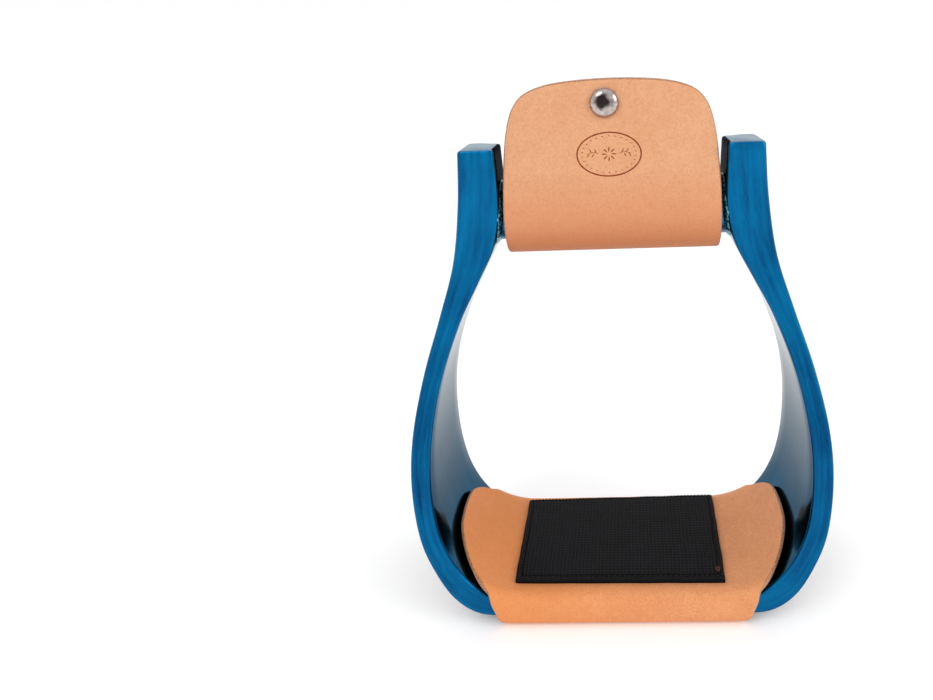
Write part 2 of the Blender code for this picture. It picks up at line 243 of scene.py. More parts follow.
def tube(build, points, radius, sides, taper=0.0):
    """Adds a round cord along points in space, with closed and pointed ends."""
    points = [Vector(p) for p in points]
    count = len(points)
    runs = [(points[min(i + 1, count - 1)] - points[max(i - 1, 0)]).normalized() for i in range(count)]
    side = runs[0].orthogonal().normalized()
    verts, uv, travelled = [], [], 0.0
    for i, (point, run) in enumerate(zip(points, runs)):
        side = (side - run * side.dot(run)).normalized()
        other = run.cross(side)
        travelled += (point - points[max(i - 1, 0)]).length
        share = radius * (1 - taper * abs(2 * i / (count - 1) - 1) ** 3)
        for k, (a, b) in enumerate(circle(sides)):
            verts.append(point + (side * a + other * b) * share)
            uv.append((travelled, k / sides))
    faces = ring_faces(count, sides)
    for end, run, base in ((points[0], -runs[0], 0), (points[-1], runs[-1], (count - 1) * sides)):
        tip = len(verts)
        verts.append(end + run * radius * 0.5)
        uv.append((0.0, 0.5))
        faces += [(base + k, base + (k + 1) % sides, tip) for k in range(sides)]
    build.add(verts, faces, uv)


def turned(name, profile, steps, place, look):
    """A turned piece from a (radius, height) profile that starts and ends on the axis."""
    inner = profile[1:-1]
    verts = [place(0, 0, profile[0][1])]
    for radius, height in inner:
        verts += [place(a, b, height) for a, b in circle(steps, radius)]
    verts.append(place(0, 0, profile[-1][1]))
    faces = [(0, 1 + k, 1 + (k + 1) % steps) for k in range(steps)]
    faces += [tuple(1 + i for i in face) for face in ring_faces(len(inner), steps)]
    base = 1 + (len(inner) - 1) * steps
    faces += [(base + (k + 1) % steps, base + k, len(verts) - 1) for k in range(steps)]
    return new_piece(name, verts, faces, [look], smooth_angle=50)


# ---------------------------------------------------------------- materials

class Look:
    """A node material being made. Its textures follow the object's coordinates unless given a vector."""

    def __init__(self, name, **fixed):
        self.material = bpy.data.materials.new(name)
        self.material.use_nodes = True
        self.nodes = self.material.node_tree.nodes
        self.shader = self.nodes["Principled BSDF"]
        for socket, value in fixed.items():
            self.feed(self.shader.inputs[socket.replace("_", " ")], value)
        self.coords = self.nodes.new("ShaderNodeTexCoord").outputs
        self.place = self.coords["Object"]
        self.normal = None

    def feed(self, socket, value):
        """Gives a socket a plain value or another node's output."""
        if isinstance(value, bpy.types.NodeSocket):
            self.material.node_tree.links.new(value, socket)
        else:
            socket.default_value = value

    def node(self, kind, inputs, output=0, **settings):
        """Adds a node with its settings and inputs, and returns one of its outputs."""
        node = self.nodes.new("ShaderNode" + kind)
        for setting, value in settings.items():
            setattr(node, setting, value)
        for socket, value in inputs.items():
            self.feed(node.inputs[socket], value)
        return node.outputs[output]

    def stretched(self, scale, source="Object", turn=0.0):
        """The object's coordinates or the UV map, scaled and turned."""
        return self.node("Mapping", {"Vector": self.coords[source], "Scale": scale, "Rotation": (0, 0, turn)})

    def noise(self, scale, detail, roughness, vector=None):
        place = self.place if vector is None else vector
        values = {"Vector": place, "Scale": scale, "Detail": detail, "Roughness": roughness}
        return self.node("TexNoise", values, "Fac")

    def cells(self, scale):
        return self.node("TexVoronoi", {"Vector": self.place, "Scale": scale}, "Distance")

    def waves(self, vector, scale, distortion):
        values = {"Vector": vector, "Scale": scale, "Distortion": distortion, "Detail Scale": 1.5}
        return self.node("TexWave", values, "Fac")

    def spread(self, value, low, high, to_low=0.0, to_high=1.0):
        """Maps the range from low to high to the one from to_low to to_high, and stops at its ends."""
        values = {"Value": value, "From Min": low, "From Max": high, "To Min": to_low, "To Max": to_high}
        return self.node("MapRange", values, "Result")

    def math(self, operation, first, second):
        return self.node("Math", {0: first, 1: second}, operation=operation)

    def mix(self, share, first, second):
        """A colour between two others."""
        return self.node("Mix", {0: share, 6: first, 7: second}, 2, data_type="RGBA")

    def rise(self, start, end, most=1.0, cloud=None, swing=0.0):
        """0 at the height start and most at the height end, in millimetres. cloud makes them uneven."""
        height = self.node("SeparateXYZ", {0: self.place}, "Z")
        if cloud is not None:
            height = self.math("ADD", height, self.math("MULTIPLY", cloud, swing * MM))
        return self.spread(height, start * MM, end * MM, 0.0, most)

    def distance_to(self, point):
        """The distance in metres to a point in millimetres."""
        point = tuple(c * MM for c in point)
        return self.node("VectorMath", {0: self.place, 1: point}, "Value", operation="DISTANCE")

    def attribute(self, name):
        return self.node("Attribute", {}, "Fac", attribute_name=name)

    def bump(self, height, depth, strength):
        """Adds relief of a depth in millimetres to what was there."""
        values = {"Strength": strength, "Distance": depth * MM, "Height": height}
        if self.normal is not None:
            values["Normal"] = self.normal
        self.normal = self.node("Bump", values, "Normal")
        self.feed(self.shader.inputs["Normal"], self.normal)

    def surface(self, colour, texture, low, high):
        """Sets the colour, and a roughness from low to high that follows a texture."""
        self.feed(self.shader.inputs["Base Color"], colour)
        self.feed(self.shader.inputs["Roughness"], self.spread(texture, 0.3, 0.7, low, high))


def srgb(red, green, blue):
    """Linear colour from 0 to 255 display values."""
    shares = [value / 255 for value in (red, green, blue)]
    return (*(((c + 0.055) / 1.055) ** 2.4 if c > 10 / 255 else c / 12.92 for c in shares), 1.0)


def blue_metal_look(name, deep, bright, coat, roughness, streak_depth, painted_dark_bands=(), tint=(1.0, 1.0, 1.0)):
    """Dyed, brushed aluminium under a clear coat. The brushing follows the UV map's first axis.

    The dark bands are painted dark reflection: each pair gives the height where one begins and the height
    where it is darkest, in millimetres.
    """
    look = Look(
        name, Metallic=1.0, Coat_Weight=coat, Coat_Roughness=0.06, Coat_IOR=1.5, Specular_Tint=(*tint, 1.0)
    )
    streaks = look.noise(1.0, 4.0, 0.6, look.stretched((0.35, 7.0, 1.0), "UV"))
    clouds = look.noise(38.0, 2.0, 0.5)
    bands = look.noise(1.0, 3.0, 0.6, look.stretched((0.035, 0.42, 1.0), "UV"))
    share = look.math("ADD", look.math("MULTIPLY", streaks, 0.28), look.math("MULTIPLY", clouds, 0.36))
    share = look.math("ADD", share, look.math("MULTIPLY", bands, 0.36))
    colour = look.mix(look.spread(share, 0.34, 0.66), deep, bright)
    # painted dark reflection, blended in between the two heights of each band
    for light_height, dark_height in painted_dark_bands:
        share = look.rise(light_height, dark_height, 0.88, clouds, 12)
        colour = look.mix(share, colour, srgb(0, 18, 44))
    look.surface(colour, streaks, *roughness)
    look.bump(streaks, streak_depth, 0.5)
    return look.material


def speckled_look(name, texture, share, dark, light, roughness, relief, **fixed):
    """A surface of one fine noise, which sets its colour, its roughness and its relief."""
    look = Look(name, **fixed)
    grain = look.noise(*texture)
    look.surface(look.mix(look.spread(grain, *share), dark, light), grain, *roughness)
    look.bump(grain, *relief)
    return look.material


def bright_cut_look():
    """Engraved silver: fine ridges across each stroke, painted shade near each stroke's head and in random
    patches, and painted lighter higher up.
    """
    look = Look("bright_cut", Metallic=1.0)
    hatch = look.waves(look.stretched((1, 1, 1), "UV"), 0.78, 1.2)
    # painted shade: random patches plus the strokes' tone attribute, broken up by the hatch
    patches = look.noise(330.0, 2.0, 0.6)
    painted_shade = look.math("ADD", look.spread(patches, 0.48, 0.66, 0.0, 0.42), look.attribute("tone"))
    painted_shade = look.math("MULTIPLY", painted_shade, look.spread(hatch, 0.1, 0.8, 1.0, 0.45))
    # painted lighter higher up the arm
    bright = look.mix(look.rise(45, 85), srgb(214, 198, 192), srgb(246, 241, 230))
    look.surface(look.mix(painted_shade, bright, srgb(84, 68, 62)), patches, 0.16, 0.34)
    look.bump(hatch, 0.05, 0.6)
    return look.material


def leather_look(name, pale, deep, fleck, warm, fold_shade_heights, warm_spot=None):
    """Natural leather: soft blotches, fine grain with pores, and a few darker flecks.

    warm is a redder, darker colour. It is painted shade from the first of the two heights down to the second,
    where the leather turns under, and it is also laid round warm_spot, in millimetres.
    """
    look = Look(name, Specular_IOR_Level=0.25, Sheen_Weight=0.05, Sheen_Roughness=0.5)
    blotches = look.noise(55.0, 3.0, 0.55)
    grain = look.noise(1350.0, 4.0, 0.65)
    mottle = look.noise(330.0, 3.0, 0.6)
    flecks = look.noise(420.0, 2.0, 0.5, look.stretched((1.0, 1.0, 1.6)))
    colour = look.mix(look.spread(blotches, 0.3, 0.72, 0.0, 0.55), pale, deep)
    colour = look.mix(look.spread(mottle, 0.40, 0.75, 0.0, 0.5), colour, deep)
    colour = look.mix(look.spread(grain, 0.42, 0.72, 0.0, 0.45), colour, fleck)
    colour = look.mix(look.spread(flecks, 0.70, 0.80, 0.0, 0.30), colour, fleck)
    # painted shade: redder and darker lower down, where the leather turns under
    share = look.rise(*fold_shade_heights, 0.8, blotches, 8)
    if warm_spot:
        near = look.spread(look.distance_to(warm_spot), 22 * MM, 85 * MM, 0.58, 0.0)
        share = look.math("ADD", share, near)
    look.surface(look.mix(share, colour, warm), grain, 0.50, 0.68)
    look.bump(grain, 0.12, 0.6)
    look.bump(look.spread(look.cells(1500.0), 0.0, 0.45), 0.06, 0.5)
    look.bump(blotches, 0.5, 0.25)
    return look.material


def nickel_look():
    """Bright nickel with fine wear, and a painted dark reflection on the crown of the front cap."""
    look = Look("nickel", Metallic=1.0)
    wear = look.noise(700.0, 3.0, 0.6)
    plate = look.mix(look.spread(wear, 0.35, 0.7), srgb(196, 186, 182), srgb(160, 148, 142))
    # painted dark reflection on the crown of the front dome, with a ragged rim
    ragged = look.spread(look.noise(420.0, 2.0, 0.5), 0.0, 1.0, -1.6 * MM, 1.6 * MM)
    crown = look.math("ADD", look.distance_to((RIVET.x - 0.2, -6.3, RIVET.z + 0.3)), ragged)
    patch = look.spread(crown, 1.9 * MM, 3.3 * MM, 0.96, 0.0)
    look.surface(look.mix(patch, plate, srgb(34, 22, 20)), wear, 0.05, 0.16)
    look.bump(wear, 0.02, 0.3)
    return look.material


def webbing_look():
    look = Look("black_webbing", Specular_IOR_Level=0.08)
    fibres = look.noise(700.0, 3.0, 0.6, look.stretched((1.0, 3.5, 1.0)))
    base = look.mix(look.spread(look.noise(75.0, 2.0, 0.5), 0.35, 0.7), srgb(7, 7, 8), srgb(12, 10, 13))
    # painted highlight on the crowns of the ribs, where the tone attribute is high
    rib_highlight = look.math("MULTIPLY", look.attribute("tone"), look.spread(fibres, 0.40, 0.66, 0.15, 1.0))
    look.surface(look.mix(rib_highlight, base, srgb(44, 42, 48)), fibres, 0.45, 0.75)
    look.bump(fibres, 0.10, 0.6)
    return look.material


def thread_look(name, dark, light, level):
    """Twisted thread. The twist slants across the UV map's first axis, the length in millimetres."""
    look = Look(name, Specular_IOR_Level=level)
    twist = look.waves(look.stretched((1.0, 1.6, 1.0), "UV", 0.9), 0.9, 0.6)
    look.surface(look.mix(twist, dark, light), look.spread(twist, 0.0, 1.0, 0.3, 0.7), 0.75, 0.5)
    look.bump(twist, 0.12, 0.7)
    return look.material


def floor_look():
    look = Look("pale_floor", Specular_IOR_Level=0.1, Emission_Strength=0.14)
    cloud = look.noise(3.0, 3.0, 0.55)
    look.surface(look.mix(cloud, (0.93, 0.93, 0.93, 1.0), (0.96, 0.96, 0.96, 1.0)), cloud, 0.8, 0.8)
    return look.material


EDGE_BLUE = blue_metal_look("blue_brushed_edge", srgb(3, 50, 98), srgb(4, 118, 170), 0.06, (0.26, 0.40), 0.03)
# the inner faces take a painted dark reflection high on the arms
INNER_BLUE = blue_metal_look(
    "blue_gloss_inside", srgb(20, 58, 84), srgb(42, 92, 122), 0.16, (0.07, 0.13), 0.01, [(112, 122)],
    (0.46, 0.50, 0.52),
)
# the engraved ground takes a painted dark reflection low on the arms and another near their tops
GROUND_BLUE = blue_metal_look(
    "blue_engraved_ground", srgb(0, 92, 148), srgb(0, 142, 198), 0.06, (0.20, 0.30), 0.02,
    [(92, 62), (128, 146)],
)
# Near-black inner faces of the neck: painted dark reflection
INNER_PAINTED_DARK = blue_metal_look(
    "blue_painted_dark_neck", srgb(2, 8, 18), srgb(8, 22, 38), 0.0, (0.22, 0.34), 0.02, tint=(0.06, 0.07, 0.09)
)
# Pale grey-blue tops of the arms: painted pale reflection on the top faces
TOP_REFLECTION_BLUE = blue_metal_look("blue_painted_reflection_top", srgb(52, 98, 128), srgb(104, 148, 166), 0.10, (0.26, 0.40), 0.03)
# Weld metal: dark blue with pale cyan speckles, which are painted glints
WELD = speckled_look(
    "weld", (900.0, 2.0, 0.6), (0.40, 0.60), srgb(10, 74, 108), srgb(110, 204, 226), (0.25, 0.5),
    (0.25, 1.0), Metallic=1.0, Coat_Weight=0.4, Coat_Roughness=0.15,
)
BRIGHT_CUT = bright_cut_look()
NECK_TAN = leather_look(
    "neck_leather_grain", srgb(218, 162, 122), srgb(205, 144, 103), srgb(186, 118, 76), srgb(193, 112, 66),
    (158, 132),
)
TREAD_TAN = leather_look(
    "tread_leather_grain", srgb(228, 158, 108), srgb(212, 136, 84), srgb(180, 106, 60), srgb(224, 128, 50),
    (9, -9), (-58.0, 0.0, 20.0),
)
# The raw, fibrous cut edge of the leather
CUT_EDGE = speckled_look(
    "leather_cut_edge", (1700.0, 4.0, 0.7), (0.35, 0.68), srgb(126, 76, 46), srgb(206, 146, 102),
    (0.75, 0.95), (0.22, 0.8), Specular_IOR_Level=0.2, Sheen_Weight=0.3, Sheen_Roughness=0.6,
)
BURNT = speckled_look(
    "burnt_leather", (1100.0, 3.0, 0.6), (0.3, 0.75), srgb(112, 40, 12), srgb(150, 70, 34), (0.6, 0.8),
    (0.08, 0.5), Specular_IOR_Level=0.2,
)
NICKEL = nickel_look()
WEBBING = webbing_look()
BLACK_THREAD = thread_look("black_thread_twist", srgb(5, 4, 5), srgb(26, 21, 23), 0.25)
KNOT_THREAD = thread_look("brown_thread_twist", srgb(62, 30, 26), srgb(112, 66, 56), 0.4)
WAXED_THREAD = thread_look("waxed_thread_twist", srgb(150, 122, 84), srgb(206, 180, 136), 0.3)


# ---------------------------------------------------------------- frame, bar and welds

FRAME_STEPS = 210
FACE_STEPS = (0.0, 0.35, 0.7)
EDGE_STEPS = 8
EDGE_UV_SHIFT = 40
# Rings that round the arms' tops over: how far each is drawn in, and how far it is lowered
TOP_RINGS = ((0.25, 0.25), (0.9, 0.0))
RELIEF_END, RELIEF_RUN = 45.0, 4.0


def section(share, inset):
    """Rounded section of the frame, as ((x, y, z), (u, v), face group) for each point of its ring.

    share runs from -1 at the top of the left arm, over 0 in the middle of the plate, to 1 on the right.
    """
    side = -1 if share < 0 else 1
    outer, inner = (path.at(abs(share) * path.length) for path in (OUTER, INNER))
    reach = np.linalg.norm(inner - outer)
    r = EDGE_RADIUS

    def rounded(angle):
        """How far a point of the rounded edge is in from the face and from the full depth."""
        return r * (1 - math.cos(math.radians(angle))), r * (1 - math.sin(math.radians(angle)))

    # (distance in from the outer face, share of the depth, what the rounding takes off it, face group)
    half = [(inset, step, None, "outer") for step in FACE_STEPS]
    for angle, group in ((0, "outer"), (30, "outer"), (60, "edge"), (90, "edge")):
        away, pull = rounded(angle)
        half.append((inset + away, 1.0, pull, group))
    for step in range(1, EDGE_STEPS):
        half.append((inset + r + (reach - 2 * (r + inset)) * step / EDGE_STEPS, 1.0, 0.0, "edge"))
    for angle, group in ((90, "edge"), (60, "edge"), (30, "edge"), (0, "inner")):
        away, pull = rounded(angle)
        half.append((reach - inset - away, 1.0, pull, group))
    half += [(reach - inset, step, None, "inner") for step in reversed(FACE_STEPS)]
    ring = []
    for front in (-1, 1):
        for across, spread, pull, group in (half if front < 0 else reversed(half)):
            if spread == 0.0 and front > 0:
                continue
            x, height = outer + (inner - outer) * across / reach
            relief = max(0.0, min(1.0, (RELIEF_END - x) / RELIEF_RUN)) if front > 0 else 0.0
            deep = half_depth(height) - inset - PLATE_BACK_RELIEF * relief
            deep = deep - pull if pull is not None else (deep - r) * spread
            v = across + front * EDGE_UV_SHIFT if group == "edge" else deep * front
            ring.append(((side * x, front * deep, height + FRAME_LOW), (share * OUTER.length, v), group))
    return ring


def make_frame():
    """The cast frame: one band from the top of one arm, down round the plate and up the other."""
    last_share = 1 - TOP_RINGS[-1][0] / OUTER.length
    sections = [((2 * i / FRAME_STEPS - 1) * last_share, 0.0, 0.0) for i in range(FRAME_STEPS + 1)]
    for inset, drop in TOP_RINGS:
        sections.insert(0, (-1.0, inset, drop))
        sections.append((1.0, inset, drop))
    verts, uv = [], []
    for share, inset, drop in sections:
        ring = section(share, inset)
        verts += [(x, y, z - drop) for (x, y, z), _, _ in ring]
        uv += [place for _, place, _ in ring]
    groups = [group for _, _, group in ring]
    size = len(ring)
    materials = {
        "outer": GROUND_BLUE, "edge": EDGE_BLUE, "inner": INNER_BLUE, "top": TOP_REFLECTION_BLUE, "neck": INNER_PAINTED_DARK
    }
    names = []
    faces = ring_faces(len(sections), size)
    for number, face in enumerate(faces):
        here, after = groups[number % size], groups[(number + 1) % size]
        name = "edge" if "edge" in (here, after) else here
        # inner faces high in the neck take the painted dark reflection
        names.append("neck" if name == "inner" and verts[face[0]][2] > NECK_PAINTED_DARK_FROM else name)
    for base in (0, (len(sections) - 1) * size):
        faces.append(tuple(range(base, base + size)))
        names.append("top")
    face_looks = [list(materials).index(name) for name in names]
    body = new_piece("bell_frame", verts, faces, materials.values(), face_looks, uv, None, 30)
    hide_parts("frame")
    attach(body, "stirrup")


def arm_face(height):
    """How far the inner face of an arm is from the middle, at a height over the frame's underside."""
    return float(np.interp(height, INNER.line[:, 1], INNER.line[:, 0]))


WELD_STEPS, WELD_RIPPLES = 120, 26
# The fillet's section: (distance into the arm, distance out from the bar, share of the lumps)
WELD_SECTION = [
    (0.6, 1.5, 1), (0.05, 1.45, 1), (-0.45, 1.05, 1), (-0.9, 0.6, 1), (-1.25, 0.2, 0), (-1.4, -0.4, 0),
    (0.6, -0.6, 0),
]


def make_weld(side, name, node):
    """A lumpy fillet of weld metal in the corner between the bar and the arm."""
    rng = random.Random(11 + side)
    verts = []
    for k in range(WELD_STEPS):
        angle = 2 * math.pi * k / WELD_STEPS
        lump = 0.25 * noise.noise(Vector((4 * math.cos(angle), 4 * math.sin(angle), side * 3.0)))
        lump += 0.12 * math.sin(angle * WELD_RIPPLES + rng.uniform(-0.2, 0.2))
        for offset, rise, share in WELD_SECTION:
            radius = BAR_RADIUS + rise + lump * share
            z = BAR_Z + radius * math.sin(angle)
            verts.append((side * (arm_face(z - FRAME_LOW) + offset), radius * math.cos(angle), z))
    bead = new_piece(name, verts, ring_faces(WELD_STEPS, len(WELD_SECTION), True), [WELD])
    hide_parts(node)
    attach(bead, "stirrup")


BAR_STEPS, BAR_TURNS, BAR_WAIST = 40, 72, 0.12


def make_bar():
    """The round bar that the sleeve turns on, with a slight waist where the leather has polished it."""
    verts, uv = [], []
    for i in range(BAR_STEPS + 1):
        x = BAR_HALF_LENGTH * (2 * i / BAR_STEPS - 1)
        radius = BAR_RADIUS - BAR_WAIST * math.cos(math.pi * x / (2 * BAR_HALF_LENGTH)) ** 2
        for k in range(BAR_TURNS):
            angle = 2 * math.pi * k / BAR_TURNS
            verts.append((x, radius * math.cos(angle), BAR_Z + radius * math.sin(angle)))
            uv.append((k * 0.8, x))
    faces = ring_faces(BAR_STEPS + 1, BAR_TURNS)
    faces += [tuple(range(base, base + BAR_TURNS)) for base in (0, BAR_STEPS * BAR_TURNS)]
    bar = new_piece("sleeve_bar", verts, faces, [EDGE_BLUE], None, uv)
    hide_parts("neck_bar")
    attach(bar, "stirrup")


# ---------------------------------------------------------------- engraving

class Engraver:
    """Cuts strokes on the outer face of one arm.

    A place on the face is (across, down): across is towards the back, and down is the distance from the
    top of the arm along the face, both in millimetres.
    """

    LIFT, SINK = 0.13, 0.05
    MARGIN = 0.35
    ROPE_WIDTH, ROPE_PITCH = 1.35, 0.82
    ZIGZAG_PITCH, ZIGZAG_SWING = 1.5, 0.85

    def __init__(self, side):
        self.side = side
        self.build = Build()
        self.rng = random.Random(5)

    def lay(self, across, down, lift):
        """A point of space over a place on the face, kept off the face's rounded edges."""
        distance = OUTER.length - down
        x, height = OUTER.at(distance)
        left_x, left_z = OUTER.left(distance)
        limit = half_depth(height) - self.MARGIN
        across = max(-limit, min(limit, across))
        return (self.side * (x - left_x * lift), across, height - left_z * lift + FRAME_LOW)

    def stroke(self, line, widths, tone=0.0, lean=0.18, lift=LIFT):
        """One cut along a line, as a low ridge of three sides that ends in points."""
        line = np.array(line, float)
        count = len(line)
        shade = list(tone) if isinstance(tone, list) else [tone] * count
        travelled = self.rng.uniform(0, 40)
        verts, uv, tones = [self.lay(*line[0], 0.0)], [(travelled, 0.0)], [shade[0]]
        for i in range(1, count - 1):
            run = line[i + 1] - line[i - 1]
            run /= np.linalg.norm(run) or 1.0
            aside = np.array([-run[1], run[0]]) * widths[i] / 2
            travelled += np.linalg.norm(line[i] - line[i - 1])
            share = min(1.0, widths[i] / 0.5)
            for offset, height in ((-1.0, -self.SINK), (lean, lift * share), (1.0, -self.SINK)):
                verts.append(self.lay(*(line[i] + aside * offset), height))
                uv.append((travelled, offset))
                tones.append(shade[i])
        verts.append(self.lay(*line[-1], 0.0))
        uv.append((travelled, 0.0))
        tones.append(shade[-1])
        last = len(verts) - 1
        faces = [(0, 1 + k, 1 + (k + 1) % 3) for k in range(3)]
        faces += [tuple(1 + i for i in face) for face in ring_faces(count - 2, 3)]
        base = last - 3
        faces += [(base + (k + 1) % 3, base + k, last) for k in range(3)]
        self.build.add(verts, faces, uv, tones)

    def leaf(self, points, width, tone=0.0):
        """A cut that swells from a thin tail to a round head, its painted shade darkest a little short of the
        head.
        """
        width *= LEAF_BOLDNESS
        path = Path(smooth(points, 8))
        count = max(8, int(path.length / 0.8))
        line = [path.at(path.length * i / (count - 1)) for i in range(count)]
        # about a third of the leaves get heavy painted shade
        if self.rng.random() < 0.3:
            tone = max(tone, 0.85)
        widths, tones = [], []
        for i in range(count):
            t = i / (count - 1)
            widths.append(width * (0.12 + 0.88 * t ** 0.75) * math.sqrt(max(0.0, 1 - t ** 7)))
            shade = tone * 1.2 * math.exp(-((t - 0.74) / 0.16) ** 2)
            shade += 0.35 * self.rng.random() * math.exp(-((t - 0.5) / 0.1) ** 2)
            tones.append(min(1.0, shade))
        self.stroke(line, widths, tones, lean=self.rng.choice((-0.3, 0.3)))

    def rope(self, points):
        """A row of short slanting cuts along a line, on a thin ribbon."""
        path = Path(smooth(points, 8))
        count = int(path.length / 1.2)
        line = [path.at(path.length * i / count) for i in range(count + 1)]
        # the ribbon under the slanting cuts carries painted shade
        self.stroke(line, [0.5] * (count + 1), 0.6, lift=0.03)
        for k in range(int(path.length / self.ROPE_PITCH)):
            distance = (k + 0.5) * self.ROPE_PITCH
            centre, run = path.at(distance), path.along(distance)
            aside = np.array([-run[1], run[0]])
            reach = (aside * 0.52 + run * 0.34) * self.ROPE_WIDTH * self.rng.uniform(0.92, 1.08)
            line = [centre + reach * share for share in (-1, -0.6, 0, 0.6, 1)]
            self.stroke(line, [0, 0.56, 0.66, 0.56, 0])

    def wedge(self, tip, blunt, tone):
        """A three-cornered cut that fills a gap between two scrolls."""
        tip, blunt = np.array(tip, float), np.array(blunt, float)
        line = [tip + (blunt - tip) * share for share in (0, 0.25, 0.5, 0.8, 0.96, 1)]
        width = np.linalg.norm(blunt - tip) * 1.05
        self.stroke(line, [0, 0.22 * width, 0.48 * width, 0.95 * width, width, 0], tone)

    def zigzag(self, start, end, edge):
        """A row of wedge cuts that lean one way and then the other, along edge(mark, swing)."""
        count = int(abs(end - start) / self.ZIGZAG_PITCH * 2)
        marks = [start + (end - start) * i / count for i in range(count + 1)]
        for i, (here, after) in enumerate(zip(marks, marks[1:])):
            swing = self.ZIGZAG_SWING if i % 2 else -self.ZIGZAG_SWING
            a, b = np.array(edge(here, -swing)), np.array(edge(after, swing))
            width = 0.95 if i % 2 else 0.6
            self.stroke([a, a + (b - a) * 0.25, a + (b - a) * 0.7, b], [0, width, width, 0])


def face_half_width(down):
    """Half the width of the arm's outer face at a distance down from its top."""
    return half_depth(OUTER.at(OUTER.length - down)[1])


# The pattern, in (across, down). Ropes are rows of points. A leaf is (points from tail to head,
# width, painted shade if any). The paired ones are cut again, mirrored.
ROPES = [
    [(-5.8, 15.5), (-7, 11), (-5.8, 6.5), (-2.5, 3.8), (1.5, 3.2), (5.2, 5.2), (7.2, 9.5), (7.2, 14),
     (6, 18.5), (3.8, 22.5), (0.8, 27), (-2.5, 31), (-5.5, 35.5), (-7.5, 41), (-8, 46), (-6.5, 51.5),
     (-3.5, 55), (0.5, 56.6), (4.8, 55), (7.8, 51), (8.7, 46.5), (7.8, 43)],
    [(-0.5, 69.6), (-5, 69.3), (-8.5, 67), (-9.7, 63.5), (-8, 60.3), (-4, 58.2), (1, 57.6), (6, 59.2),
     (9.8, 63), (11.5, 68), (11, 73), (9, 77.2), (5.5, 80.6), (1, 83.8), (-4, 87), (-9.5, 90.6),
     (-14.5, 94.2), (-18.5, 98)],
    [(-12, 77), (-11, 73), (-8, 71.3), (-4, 71), (-1, 73.5), (0.5, 78), (0.8, 82)],
]
PAIRED_ROPES = [
    [(0, 103.5), (3, 99), (8, 95.8), (14, 95), (19, 97.5), (21, 102), (19.5, 107), (15, 109.5),
     (11.5, 108), (10.5, 105)],
    [(1, 150), (3, 144), (6, 137), (10, 131.5), (15, 128.5), (20.5, 129), (25, 133), (26, 138),
     (23, 141.5)],
    [(2, 151), (8, 147), (14, 144.5), (20, 143), (26, 146), (28, 151)],
]
